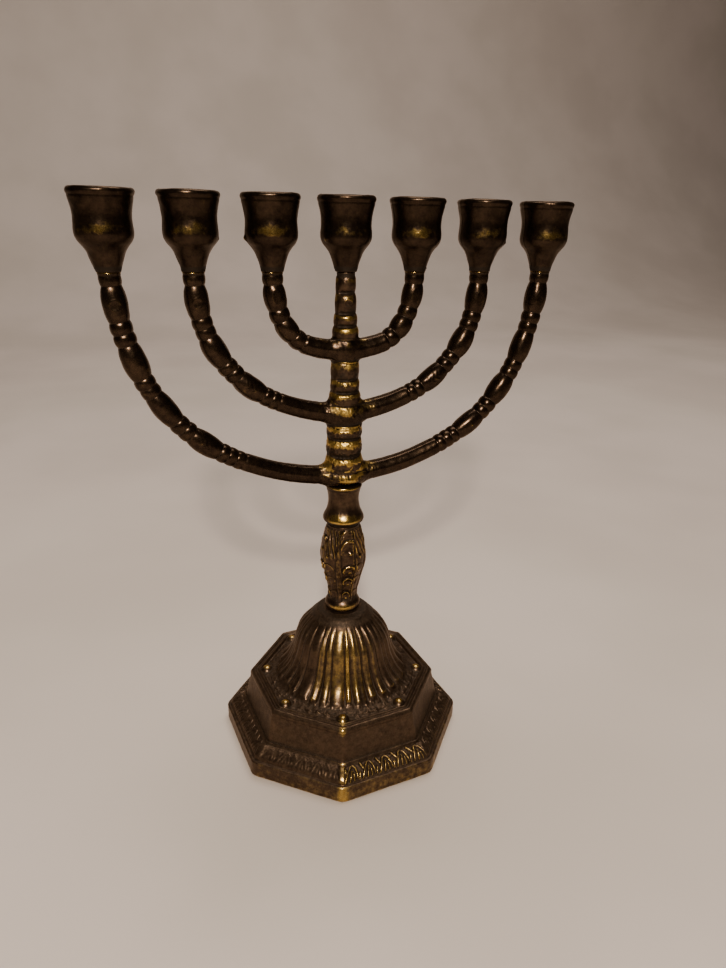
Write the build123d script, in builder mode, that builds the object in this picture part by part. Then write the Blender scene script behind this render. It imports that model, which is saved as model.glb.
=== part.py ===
from build123d import *
import os

os.makedirs("parts", exist_ok=True)

# ---------------------------------------------------------------------------
# Seven-branch brass menorah, millimetres, +Z up.
# Origin: centre of the base's resting face. The branches lie in the XZ plane.
# A hollow octagonal base carries a baluster and a collar. The candelabrum on
# top is brazed up from three U-shaped branches, three stem lengths between
# them and seven candle cups. One M6 tie rod, screwed into the lowest branch's
# hub and the stem above it, holds the stack with a nut under the base's dome.
# ---------------------------------------------------------------------------

# overall
CUP_PITCH = 31.0            # spacing of the candle cups along X
RIM_Z = 256.0               # height of the cup rims
BASE_TURN = -16.4           # how far the octagon stands off the branch plane, degrees
OCT_N = 8

# tie rod, nut and washer (M6)
ROD_R = 3.0
ROD_LOW_Z = 45.0            # lower, free end of the rod
ROD_TOP_Z = 150.0           # end of the thread inside the stem
CLEAR_R = 3.5               # clearance hole through base, baluster and collar
TAPPED_R = 3.02
NUT_BORE_R = 3.05
NUT_AF = 10.0
NUT_H = 5.2
WASHER_R = 6.0
WASHER_BORE_R = 3.2
WASHER_T = 1.6

# heights of the stack's joints
SEAT_Z = 67.5               # baluster on base
COLLAR_Z = 112.8            # collar on baluster
HUB_Z = {"outer": (132.8, 139.5), "middle": (161.5, 170.5), "inner": (190.0, 199.0)}
HUB_R = {"outer": 8.1, "middle": 6.9, "inner": 5.5}
CUP_FOOT_Z = 226.6          # foot of every cup, on the arm's end
CEILING_Z = 60.0            # underside of the dome's boss, where the washer bears

# brazed joints are located by short spigots
SPIGOT_R = 2.0
SPIGOT_L = 3.0
SPIGOT_GAP = 0.03

# candle cup, outside profile (radius, z) and socket
CUP_OUTER = [(4.75, 228.2), (5.35, 230.2), (6.3, 233.0), (7.55, 235.2), (8.95, 236.9), (10.15, 238.5), (10.45, 240.2),
             (10.35, 242.6), (10.2, 245.6), (10.45, 248.6), (10.95, 251.0), (11.5, 253.2), (11.8, 255.0)]
BORE_R = 8.25
BORE_LOW_Z = 240.0
BORE_TOP_Z = 254.6

# octagonal tiers of the base: (corner radius of the octagon, z)
PLINTH = [(60.3, 0.0), (60.0, 8.0)]
BAND = [(58.4, 8.0), (56.4, 11.4), (50.6, 14.0)]
WALL = [(50.2, 14.0), (46.9, 28.0)]
RIM = [(46.9, 28.0), (46.2, 29.8)]
RIM_IN_R = 44.0
DECK_Z = 28.6
CAVITY = [(56.8, 0.0), (56.8, 5.0), (46.6, 12.0), (43.4, 25.4)]

# dome of the base, (radius, z), from its flared foot to the seat
DOME = [(37.0, 29.6), (31.0, 33.2), (26.6, 39.0), (24.0, 46.5), (22.5, 52.4), (20.2, 57.0), (16.2, 62.4),
        (12.2, 66.5), (9.4, 67.5)]
DOME_CAVITY = [(31.0, 27.0), (25.0, 33.0), (21.2, 43.0), (18.6, 54.4), (14.2, CEILING_Z)]

# baluster and collar flanks, (radius, z)
BALUSTER = [(7.4, 72.6), (7.1, 74.6), (7.2, 77.6), (8.2, 82.0), (9.4, 87.4), (10.7, 92.2),
            (11.2, 95.6), (10.9, 99.0), (10.0, 103.4), (8.9, 107.6), (7.9, 111.6)]
COLLAR = [(7.9, 113.1), (9.2, 113.9), (9.6, 115.1), (9.4, 116.4), (8.6, 118.4), (7.6, 121.4),
          (7.15, 124.6), (7.4, 127.4), (8.0, 129.4), (8.4, 130.6)]

# beads of each stem length: (neck radius below, bead radius, z where the bead starts)
STEMS = {
    "stem_lower": ([(7.9, 8.55, 139.5), (7.5, 8.0, 147.2), (7.3, 8.0, 155.2)], 7.5, 161.5),
    "stem_middle": ([(6.5, 7.1, 170.5), (6.0, 6.35, 176.3), (5.8, 6.15, 182.0)], 5.7, 190.0),
    "stem_upper": ([(5.0, 5.7, 199.0), (4.6, 5.1, 204.7), (4.1, 4.6, 210.0), (3.6, 4.25, 218.5)], 3.8, 225.4),
}

# centrelines of the right-hand arms, (x, z), starting in the middle of the hub
ARMS = {
    "outer": [(0, 136.1), (11, 137.7), (17.3, 138.6), (23.3, 139.7), (29, 141.1), (35, 143.0), (40.5, 145.1),
              (46, 147.4), (51.3, 150.1), (56.6, 153.2), (61.5, 156.6), (66.1, 160.4), (70.4, 164.6), (74.2, 169.1),
              (77.7, 173.9), (80.9, 178.9), (83.6, 184.1), (85.8, 189.5), (87.7, 195.2), (89.4, 200.9), (90.7, 206.7),
              (91.7, 212.6), (92.4, 218.7), (93.0, 226.6)],
    "middle": [(0, 165.9), (10.5, 167.3), (16.5, 168.6), (22.2, 170.2), (28, 172.3), (33.5, 174.8), (38.6, 177.9),
               (43.4, 181.5), (47.6, 185.6), (51.5, 190.2), (54.8, 195.0), (57.4, 200.1), (59.3, 205.5),
               (60.8, 211.5), (61.6, 217.5), (62.0, 226.6)],
    "inner": [(0, 194.4), (9.5, 195.1), (14.5, 196.2), (19.2, 198.1), (22.9, 201.0), (25.8, 204.6), (27.9, 208.6),
              (29.4, 213.4), (30.4, 218.0), (31.0, 226.6)],
}
REACH = {"outer": 93.0, "middle": 62.0, "inner": 31.0}
HUB_ARM_R = {"outer": 3.25, "middle": 4.3, "inner": 4.3}    # arm radius inside the hub
PLAIN_R = {"outer": 4.15, "middle": 4.25, "inner": 4.3}     # plain run next to the hub

# ornament along each arm: kind, start and end as arc length from the axis, bead radius
GROUPS = {
    "outer": [("bead", 47.8, 51.6, 4.25), ("bead", 51.6, 55.4, 4.25), ("bead", 55.4, 59.1, 4.25),
              ("long", 59.1, 73.0, 4.75), ("bead", 73.0, 77.2, 4.25), ("bead", 77.2, 81.4, 4.25),
              ("long", 81.4, 95.4, 4.8), ("bead", 95.4, 99.4, 4.25), ("bead", 99.4, 103.5, 4.25),
              ("long", 103.5, 117.6, 4.85), ("bead", 117.6, 122.0, 4.25), ("bead", 122.0, 126.7, 4.25),
              ("long", 126.7, 140.3, 4.8), ("bead", 140.3, 144.9, 4.3)],
    "middle": [("bead", 31.3, 34.7, 4.25), ("bead", 34.7, 38.3, 4.25), ("long", 38.3, 51.3, 4.7),
               ("bead", 51.3, 55.3, 4.25), ("bead", 55.3, 59.4, 4.25), ("long", 59.4, 71.9, 4.8),
               ("bead", 71.9, 75.8, 4.25), ("bead", 75.8, 79.9, 4.25), ("long", 79.9, 92.6, 4.75),
               ("bead", 92.6, 97.3, 4.3)],
    "inner": [("bead", 19.5, 24.1, 4.3), ("long", 24.1, 32.5, 4.6), ("bead", 32.5, 37.2, 4.35),
              ("long", 37.2, 47.2, 4.65), ("bead", 47.2, 51.9, 4.3)],
}


def octagon(radius, corner):
    """Octagon of that corner radius with rounded corners, inside a BuildSketch."""
    face = RegularPolygon(radius=radius, side_count=OCT_N, rotation=BASE_TURN + 90.0)
    fillet(face.vertices(), radius=corner)


def stations(name, total):
    """(arc length, radius) along an arm, from the hub to the cup."""
    hub, plain, groups = HUB_ARM_R[name], PLAIN_R[name], GROUPS[name]
    first = groups[0][1]
    out = [(0.0, hub), (HUB_R[name] + 3.5, plain + 0.15), (first - 3.0, plain - 0.1), (first, plain - 0.4)]
    for kind, a, b, r in groups:
        if kind == "bead":
            cut = [(0.22, r - 0.12), (0.5, r), (0.78, r - 0.12), (1.0, 3.75)]
        else:
            cut = [(0.1, r - 0.4), (0.28, r - 0.08), (0.5, r), (0.72, r - 0.08), (0.9, r - 0.4), (1.0, 3.75)]
        out += [(a + q * (b - a), rad) for q, rad in cut]
    out = [s for s in out if s[0] < total - 0.7] + [(total, 3.85)]
    filled = []
    for (a, ra), (b, rb) in zip(out, out[1:]):
        steps = max(1, round((b - a) / 5.0))
        filled += [(a + (b - a) * k / steps, ra + (rb - ra) * k / steps) for k in range(steps)]
    return filled + [out[-1]]


# --------------------------------------------------------------- base casting
with BuildPart() as base_casting:
    for tier in (PLINTH, BAND, WALL, RIM):
        for (r0, z0), (r1, z1) in zip(tier, tier[1:]):
            with BuildSketch(Plane.XY.offset(z0)):
                octagon(r0, 5.0 if z0 < 13.5 else 2.2)
            with BuildSketch(Plane.XY.offset(z1)):
                octagon(r1, 5.0 if z0 < 13.5 else 2.2)
            loft(ruled=True)
    # recessed deck inside the rim
    with BuildSketch(Plane.XY.offset(DECK_Z)):
        octagon(RIM_IN_R, 2.0)
    extrude(amount=5.0, mode=Mode.SUBTRACT)
    # bell-shaped dome, with a flat seat for the baluster
    with BuildSketch(Plane.XZ):
        with BuildLine():
            Polyline(*DOME, (0, SEAT_Z), (0, 20.0), (DOME[0][0], 20.0), DOME[0])
        make_face()
    revolve(axis=Axis.Z)
    # hollow underside
    for (r0, z0), (r1, z1) in zip(CAVITY, CAVITY[1:]):
        with BuildSketch(Plane.XY.offset(z0)):
            octagon(r0, 4.0)
        with BuildSketch(Plane.XY.offset(z1)):
            octagon(r1, 4.0)
        loft(ruled=True, mode=Mode.SUBTRACT)
    with BuildSketch(Plane.XZ):
        with BuildLine():
            Polyline(*DOME_CAVITY, (0, CEILING_Z), (0, 24.0), (DOME_CAVITY[0][0], 24.0), DOME_CAVITY[0])
        make_face()
    revolve(axis=Axis.Z, mode=Mode.SUBTRACT)
    # hole for the tie rod
    with Locations((0, 0, SEAT_Z)):
        Cylinder(CLEAR_R, 30.0, mode=Mode.SUBTRACT)
base_casting.part.label = "base_casting"

# ------------------------------------------------- baluster with its foot ring
with BuildPart() as baluster:
    with BuildSketch(Plane.XZ):
        with BuildLine():
            Polyline((CLEAR_R, SEAT_Z), (7.6, SEAT_Z))
            ThreePointArc((7.6, SEAT_Z), (8.6, 70.0), BALUSTER[0])
            Spline(*BALUSTER)
            Polyline(BALUSTER[-1], (7.9, COLLAR_Z), (CLEAR_R, COLLAR_Z), (CLEAR_R, SEAT_Z))
        make_face()
    revolve(axis=Axis.Z)
baluster.part.label = "baluster"

# --------------------------------------------------------------------- collar
with BuildPart() as collar:
    with BuildSketch(Plane.XZ):
        with BuildLine():
            Polyline((CLEAR_R, COLLAR_Z), (7.8, COLLAR_Z), COLLAR[0])
            Spline(*COLLAR)
            Polyline(COLLAR[-1], (8.55, 131.4), (8.55, HUB_Z["outer"][0]), (CLEAR_R, HUB_Z["outer"][0]),
                     (CLEAR_R, COLLAR_Z))
        make_face()
    revolve(axis=Axis.Z)
collar.part.label = "collar"

# -------------------------------------------------------- three stem lengths
stems = {}
for label, (beads, end_r, end_z) in STEMS.items():
    low_z = beads[0][2]
    top_z = CUP_FOOT_Z if label == "stem_upper" else end_z
    threaded = label == "stem_lower"
    with BuildPart() as stem:
        with BuildSketch(Plane.XZ):
            with BuildLine():
                Line((0, low_z), (beads[0][0], low_z))
                for i, (neck, bead, z) in enumerate(beads):
                    after, z1 = (beads[i + 1][0], beads[i + 1][2]) if i + 1 < len(beads) else (end_r, end_z)
                    ThreePointArc((neck, z), (bead, (z + z1) / 2), (after, z1))
                if top_z > end_z:
                    Line((end_r, end_z), (end_r, top_z))
                Polyline((end_r, top_z), (0, top_z), (0, low_z))
            make_face()
        revolve(axis=Axis.Z)
        if threaded:                                   # tapped for the tie rod
            with BuildSketch(Plane.XY.offset(low_z)):
                Circle(TAPPED_R)
            extrude(amount=ROD_TOP_Z + 1.0 - low_z, mode=Mode.SUBTRACT)
        else:                                          # spigot down into the hub below
            with BuildSketch(Plane.XY.offset(low_z)):
                Circle(SPIGOT_R)
            extrude(amount=-SPIGOT_L)
        with BuildSketch(Plane.XY.offset(top_z)):      # socket in the top
            Circle(SPIGOT_R + SPIGOT_GAP)
        extrude(amount=-(SPIGOT_L + 0.3), mode=Mode.SUBTRACT)
    stem.part.label = label
    stems[label] = stem.part

# -------------------------------------------------- three U-shaped branches
branches = {}
for name, points in ARMS.items():
    low_z, high_z = HUB_Z[name]
    with BuildPart() as branch:
        # hub
        with BuildSketch(Plane.XZ):
            with BuildLine():
                Line((0, low_z), (HUB_R[name] - 0.4, low_z))
                ThreePointArc((HUB_R[name] - 0.4, low_z), (HUB_R[name], (low_z + high_z) / 2),
                              (HUB_R[name] - 0.4, high_z))
                Polyline((HUB_R[name] - 0.4, high_z), (0, high_z), (0, low_z))
            make_face()
        revolve(axis=Axis.Z)
        # one arm each way
        for side in (-1, 1):
            with BuildLine(mode=Mode.PRIVATE) as path:
                Spline(*[(side * x, 0, z) for x, z in points], tangents=[(side, 0, 0.1), (0, 0, 1)])
            run = path.edges()[0]
            for at, radius in stations(name, run.length):
                t = at / run.length
                with BuildSketch(Plane(origin=run.position_at(t), x_dir=(0, 1, 0), z_dir=run.tangent_at(t))):
                    Circle(radius)
            loft(ruled=True)
            # socket for the cup's spigot
            with BuildSketch(Plane((side * REACH[name], 0, CUP_FOOT_Z))):
                Circle(SPIGOT_R + SPIGOT_GAP)
            extrude(amount=-(SPIGOT_L + 0.3), mode=Mode.SUBTRACT)
        # the stem lengths are let into the root of the arms
        for piece in stems.values():
            add(piece, mode=Mode.SUBTRACT)
        # socket, or tapped hole in the lowest hub
        with BuildSketch(Plane.XY.offset(low_z)):
            Circle(TAPPED_R if name == "outer" else SPIGOT_R + SPIGOT_GAP)
        extrude(amount=high_z - low_z + (12.0 if name == "outer" else 0.0), mode=Mode.SUBTRACT)
    branch.part.label = f"{name}_branch"
    branches[branch.part.label] = branch.part

# ---------------------------------------------------------------- candle cups
cups = {}
for n in range(7):
    x = (n - 3) * CUP_PITCH
    with BuildPart() as cup:
        with BuildSketch(Plane(origin=(x, 0, 0), x_dir=(1, 0, 0), z_dir=(0, -1, 0))):
            with BuildLine():
                Spline(*CUP_OUTER)
                ThreePointArc(CUP_OUTER[-1], (11.7, RIM_Z - 0.3), (11.2, RIM_Z))
                Line((11.2, RIM_Z), (9.5, RIM_Z))
                ThreePointArc((9.5, RIM_Z), (8.6, RIM_Z - 0.45), (BORE_R, BORE_TOP_Z))
                Polyline((BORE_R, BORE_TOP_Z), (BORE_R, BORE_LOW_Z), (0, BORE_LOW_Z - 0.6),
                         (0, CUP_FOOT_Z - SPIGOT_L), (SPIGOT_R, CUP_FOOT_Z - SPIGOT_L), (SPIGOT_R, CUP_FOOT_Z),
                         (4.3, CUP_FOOT_Z), (4.55, 227.4), CUP_OUTER[0])
            make_face()
        revolve(axis=Axis((x, 0, 0), (0, 0, 1)))
    cup.part.label = f"candle_cup_{n + 1}"
    cups[cup.part.label] = cup.part

# ------------------------------------------------------ tie rod, washer, nut
with BuildPart() as tie_rod:
    with BuildSketch(Plane.XY.offset(ROD_LOW_Z)):
        Circle(ROD_R)
    extrude(amount=ROD_TOP_Z - ROD_LOW_Z)
    chamfer(tie_rod.edges().filter_by(GeomType.CIRCLE), length=0.6)
tie_rod.part.label = "tie_rod"

with BuildPart() as washer:
    with BuildSketch(Plane.XY.offset(CEILING_Z - WASHER_T)):
        Circle(WASHER_R)
        Circle(WASHER_BORE_R, mode=Mode.SUBTRACT)
    extrude(amount=WASHER_T)
    chamfer(washer.faces().sort_by(Axis.Z)[0].outer_wire().edges(), length=0.25)
washer.part.label = "washer"

NUT_TOP_Z = CEILING_Z - WASHER_T
with BuildPart() as hex_nut:
    with BuildSketch(Plane.XY.offset(NUT_TOP_Z)):
        RegularPolygon(radius=NUT_AF / 2, side_count=6, major_radius=False)
    extrude(amount=-NUT_H)
    # chamfered corners, as on a turned hexagon
    with BuildSketch(Plane.XZ):
        with BuildLine():
            Polyline((0, NUT_TOP_Z - NUT_H), (4.7, NUT_TOP_Z - NUT_H), (5.9, NUT_TOP_Z - NUT_H + 0.75),
                     (5.9, NUT_TOP_Z - 0.75), (4.7, NUT_TOP_Z), (0, NUT_TOP_Z), (0, NUT_TOP_Z - NUT_H))
        make_face()
    revolve(axis=Axis.Z, mode=Mode.INTERSECT)
    with BuildSketch(Plane.XY.offset(NUT_TOP_Z)):
        Circle(NUT_BORE_R)
    extrude(amount=-NUT_H, mode=Mode.SUBTRACT)
hex_nut.part.label = "hex_nut"

# --------------------------------------------------------------------- export
pieces = [base_casting.part, baluster.part, collar.part, tie_rod.part, washer.part, hex_nut.part]
pieces += list(stems.values()) + list(branches.values()) + list(cups.values())
for piece in pieces:
    export_step(piece, f"parts/{piece.label}.step")
    print(piece.label, "solids", len(piece.solids()), "volume", round(piece.volume, 1))
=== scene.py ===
import math

import bpy
import numpy as np
from mathutils import Matrix, Vector


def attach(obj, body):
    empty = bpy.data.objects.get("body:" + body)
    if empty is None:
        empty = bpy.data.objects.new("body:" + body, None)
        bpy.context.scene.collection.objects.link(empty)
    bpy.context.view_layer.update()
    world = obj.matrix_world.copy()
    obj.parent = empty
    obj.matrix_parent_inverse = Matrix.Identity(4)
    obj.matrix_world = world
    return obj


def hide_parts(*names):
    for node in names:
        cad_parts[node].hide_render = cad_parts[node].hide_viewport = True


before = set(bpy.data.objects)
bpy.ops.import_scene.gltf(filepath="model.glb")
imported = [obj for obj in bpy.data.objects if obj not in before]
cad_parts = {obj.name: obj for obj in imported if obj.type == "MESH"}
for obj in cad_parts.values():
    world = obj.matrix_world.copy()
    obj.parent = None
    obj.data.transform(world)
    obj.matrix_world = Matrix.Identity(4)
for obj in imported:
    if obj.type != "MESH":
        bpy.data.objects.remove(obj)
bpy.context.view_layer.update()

# Lengths in the mesh code are millimetres; make() turns them into metres.
MM = 0.001
TAU = 2.0 * math.pi
BASE_TURN = -16.4            # the octagon's first corner, degrees from -Y towards -X
FINE = 1


# ------------------------------------------------------------------ noise
def lattice(i, j, k, seed):
    n = (i * 374761393 + j * 668265263 + k * 1103515245 + seed * 1274126177) & 0xFFFFFFFF
    n = ((n ^ (n >> 13)) * 1274126177) & 0xFFFFFFFF
    return ((n ^ (n >> 16)) & 0xFFFFFF) / float(0xFFFFFF)


def noise(points, size, seed=0):
    """Smooth value noise in -1..1 with features of that size, at an (..., 3) array of points."""
    q = np.asarray(points, dtype=float) / size + 1000.0
    cell = np.floor(q).astype(np.int64)
    f = q - cell
    f = f * f * f * (f * (f * 6.0 - 15.0) + 10.0)
    out = 0.0
    for dx in (0, 1):
        wx = f[..., 0] if dx else 1.0 - f[..., 0]
        for dy in (0, 1):
            wy = f[..., 1] if dy else 1.0 - f[..., 1]
            for dz in (0, 1):
                wz = f[..., 2] if dz else 1.0 - f[..., 2]
                out = out + wx * wy * wz * lattice(cell[..., 0] + dx, cell[..., 1] + dy, cell[..., 2] + dz, seed)
    return out * 2.0 - 1.0


def fbm(points, size, seed=0, octaves=3):
    total, amp, norm = 0.0, 1.0, 0.0
    for o in range(octaves):
        total = total + amp * noise(points, size / 2.0**o, seed + 17 * o)
        norm += amp
        amp *= 0.5
    return total / norm


def smooth(x, a, b):
    t = np.clip((x - a) / (b - a), 0.0, 1.0)
    return t * t * (3.0 - 2.0 * t)


def bump(d, width):
    """Round bump of that half-width, 1 at d = 0."""
    return np.clip(1.0 - (d / width) ** 2, 0.0, 1.0) ** 1.5


def hump(d, width):
    return np.exp(-((d / width) ** 2))


# ------------------------------------------------------------------ curves
def spline(points, n=60):
    """Natural cubic spline through points, parameterised by chord length; returns n dense points per span."""
    p = np.asarray(points, dtype=float)
    t = np.r_[0.0, np.cumsum(np.linalg.norm(np.diff(p, axis=0), axis=1))]
    h = np.diff(t)
    m = len(p)
    a = np.eye(m)
    rhs = np.zeros_like(p)
    for i in range(1, m - 1):
        a[i, i - 1], a[i, i], a[i, i + 1] = h[i - 1], 2.0 * (h[i - 1] + h[i]), h[i]
        rhs[i] = 6.0 * ((p[i + 1] - p[i]) / h[i] - (p[i] - p[i - 1]) / h[i - 1])
    k = np.linalg.solve(a, rhs)
    out = []
    for i in range(m - 1):
        u = np.linspace(0.0, 1.0, n, endpoint=False)[:, None]
        x = u * h[i]
        out.append(
            k[i] * (h[i] - x) ** 3 / (6 * h[i]) + k[i + 1] * x**3 / (6 * h[i])
            + (p[i] / h[i] - k[i] * h[i] / 6) * (h[i] - x) + (p[i + 1] / h[i] - k[i + 1] * h[i] / 6) * x
        )
    out.append(p[-1:])
    return np.vstack(out)


def arc(p):
    return np.r_[0.0, np.cumsum(np.linalg.norm(np.diff(p, axis=0), axis=1))]


def resample(p, step):
    s = arc(p)
    n = max(2, int(round(s[-1] / step)) + 1)
    q = np.linspace(0.0, s[-1], n)
    return np.column_stack([np.interp(q, s, p[:, i]) for i in range(p.shape[1])])


def profile(*parts, step=0.25, soft=0.22, closed=False):
    """A turned outline. Each part is ('s', points) for a smooth run or ('l', points) for straight runs.
    The whole is resampled evenly, and its corners are eased by about `soft` mm, as a casting's are."""
    runs = []
    for kind, pts in parts:
        run = spline(pts, 30) if kind == "s" else np.asarray(pts, dtype=float)
        runs.append(run if not runs else run[1:] if np.allclose(run[0], runs[-1][-1]) else run)
    p = np.vstack(runs)
    fine = resample(p, 0.05)
    w = int(3 * soft / 0.05)
    kern = np.exp(-0.5 * (np.arange(-w, w + 1) * 0.05 / soft) ** 2)
    kern /= kern.sum()
    if closed:
        padded = np.vstack([fine[-w - 1 : -1], fine, fine[1 : w + 1]])
    else:
        padded = np.vstack([2 * fine[0] - fine[w:0:-1], fine, 2 * fine[-1] - fine[-2 : -w - 2 : -1]])
    eased = np.column_stack([np.convolve(padded[:, i], kern, mode="valid") for i in range(2)])
    return resample(eased, step)


# ------------------------------------------------------------------ meshes
def make(name, rings, poles=(None, None), closed=False, sharp=None, body="candelabrum", node=None,
         shells=(), wear_and_painted_light=None):
    """One closed mesh from rings of points around an axis, in mm. Neighbouring rings have the same number of points
    or twice as many. closed joins the last ring to the first; otherwise poles are the end points.
    Attributes are stored for the materials: 'edge' and 'form', how far each point stands proud of the surface
    around it, over about 1 mm and 3 mm, and 'wear_and_painted_light', handling wear together with painted highlights
    and painted shade, given per ring point."""
    counts = [len(r) for r in rings]
    starts = np.r_[0, np.cumsum(counts)]
    verts = np.vstack(rings)
    loops, sizes = [], []
    pairs = list(zip(range(len(rings)), range(1, len(rings))))
    if closed:
        pairs.append((len(rings) - 1, 0))
    for i, j in pairs:
        a, b = starts[i], starts[j]
        na, nb = counts[i], counts[j]
        if na == nb:
            u = np.arange(na)
            v = (u + 1) % na
            loops.append(np.column_stack([a + u, a + v, b + v, b + u]).ravel())
            sizes.append(np.full(na, 4))
        elif nb == 2 * na:
            u = np.arange(na)
            v = (u + 1) % na
            loops.append(np.column_stack([a + u, a + v, b + (2 * v) % nb, b + 2 * u + 1, b + 2 * u]).ravel())
            sizes.append(np.full(na, 5))
        elif na == 2 * nb:
            u = np.arange(nb)
            v = (u + 1) % nb
            loops.append(np.column_stack([a + 2 * u, a + 2 * u + 1, a + (2 * v) % na, b + v, b + u]).ravel())
            sizes.append(np.full(nb, 5))
        else:
            raise ValueError(f"{name}: rings of {na} and {nb} points")
    extra = []
    for which, pole in enumerate(poles):
        if pole is None or closed:
            continue
        at = len(verts) + len(extra)
        extra.append(pole)
        i = 0 if which == 0 else len(rings) - 1
        u = np.arange(counts[i])
        v = (u + 1) % counts[i]
        a = starts[i]
        fan = [np.full(counts[i], at), a + v, a + u] if which == 0 else [np.full(counts[i], at), a + u, a + v]
        loops.append(np.column_stack(fan).ravel())
        sizes.append(np.full(counts[i], 3))
    if extra:
        verts = np.vstack([verts, np.array(extra, dtype=float)])
    for sv, sl, ss in shells:
        loops.append(np.asarray(sl) + len(verts))
        sizes.append(np.asarray(ss))
        verts = np.vstack([verts, sv])
    loops = np.concatenate(loops).astype(np.int32)
    sizes = np.concatenate(sizes).astype(np.int32)
    first = np.r_[0, np.cumsum(sizes)[:-1]].astype(np.int32)
    # outward normals: the signed volume is positive
    nxt = np.arange(len(loops)) + 1
    nxt[first + sizes - 1] = first
    face = np.repeat(np.arange(len(sizes)), sizes)
    o = verts[loops[first]][face]
    vol = np.einsum("ij,ij->", o, np.cross(verts[loops], verts[loops[nxt]]))
    if vol < 0:
        order = np.arange(len(loops))
        within = order - first[face]
        loops = loops[first[face] + sizes[face] - 1 - within]
    mesh = bpy.data.meshes.new(name)
    mesh.vertices.add(len(verts))
    mesh.vertices.foreach_set("co", (verts * MM).ravel().astype(np.float32))
    mesh.loops.add(len(loops))
    mesh.loops.foreach_set("vertex_index", loops)
    mesh.polygons.add(len(sizes))
    mesh.polygons.foreach_set("loop_start", first)
    mesh.polygons.foreach_set("loop_total", sizes)
    mesh.update(calc_edges=True)
    mesh.validate()
    mesh.polygons.foreach_set("use_smooth", np.ones(len(mesh.polygons), dtype=bool))
    if sharp:
        mesh.set_sharp_from_angle(angle=math.radians(sharp))
    # relief attributes
    nv = len(mesh.vertices)
    co = np.empty(nv * 3)
    mesh.vertices.foreach_get("co", co)
    co = co.reshape(-1, 3) / MM
    nor = np.empty(nv * 3)
    mesh.vertices.foreach_get("normal", nor)
    nor = nor.reshape(-1, 3)
    ed = np.empty(len(mesh.edges) * 2, dtype=np.int32)
    mesh.edges.foreach_get("vertices", ed)
    ed = ed.reshape(-1, 2)
    ln = np.linalg.norm(co[ed[:, 0]] - co[ed[:, 1]], axis=1)
    mean = max(0.08, float(np.median(ln)))
    w = np.ones(len(ed))
    deg = np.bincount(ed[:, 0], w, nv) + np.bincount(ed[:, 1], w, nv)
    deg[deg == 0] = 1.0
    s = co.copy()
    for label, reach in (("edge", 0.55), ("form", 1.7)):
        for _ in range(min(90, max(2, int(2.0 * (reach / mean) ** 2)))):
            acc = np.column_stack([
                np.bincount(ed[:, 0], s[ed[:, 1], c], nv) + np.bincount(ed[:, 1], s[ed[:, 0], c], nv) for c in range(3)
            ]) / deg[:, None]
            s = 0.5 * s + 0.5 * acc
        value = np.einsum("ij,ij->i", co - s, nor) / reach
        att = mesh.attributes.new(label, "FLOAT", "POINT")
        att.data.foreach_set("value", value.astype(np.float32))
    extra_wear_and_painted_light = np.zeros(nv, dtype=np.float32)
    if wear_and_painted_light is not None:
        flat = np.concatenate([np.asarray(w, dtype=np.float32) for w in wear_and_painted_light])
        extra_wear_and_painted_light[: len(flat)] = flat
    mesh.attributes.new("wear_and_painted_light", "FLOAT", "POINT").data.foreach_set("value", extra_wear_and_painted_light)
    obj = bpy.data.objects.new(name, mesh)
    bpy.context.scene.collection.objects.link(obj)
    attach(obj, body)
    if node:
        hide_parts(node)
    return obj


def turn(prof, n, centre=(0.0, 0.0), start=0.0):
    """Rings of a turned outline about a vertical axis: (len(prof), n, 3)."""
    th = start + np.arange(n) * TAU / n
    r, z = prof[:, 0][:, None], prof[:, 1][:, None]
    g = np.empty((len(prof), n, 3))
    g[..., 0] = centre[0] + r * np.cos(th)
    g[..., 1] = centre[1] + r * np.sin(th)
    g[..., 2] = z + 0 * th
    return g, th


def normals(prof):
    """Outward direction (r, z) along an outline that runs from the bottom up on the outside."""
    t = np.gradient(prof, axis=0)
    t /= np.maximum(np.linalg.norm(t, axis=1), 1e-9)[:, None]
    return np.column_stack([t[:, 1], -t[:, 0]])


def push(g, prof, th, amount):
    """Moves a turned grid along its outline's normals by amount (len(prof), n)."""
    nr = normals(prof)
    g[..., 0] += nr[:, 0][:, None] * amount * np.cos(th)
    g[..., 1] += nr[:, 0][:, None] * amount * np.sin(th)
    g[..., 2] += nr[:, 1][:, None] * amount


# ------------------------------------------------------------------ materials
def ramp(nt, stops, interpolation="LINEAR"):
    r = nt.nodes.new("ShaderNodeValToRGB")
    r.color_ramp.interpolation = interpolation
    while len(r.color_ramp.elements) > 1:
        r.color_ramp.elements.remove(r.color_ramp.elements[-1])
    r.color_ramp.elements[0].position = stops[0][0]
    r.color_ramp.elements[0].color = stops[0][1]
    for pos, col in stops[1:]:
        e = r.color_ramp.elements.new(pos)
        e.color = col
    return r


def grey(v):
    return (v, v, v, 1.0)


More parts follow.
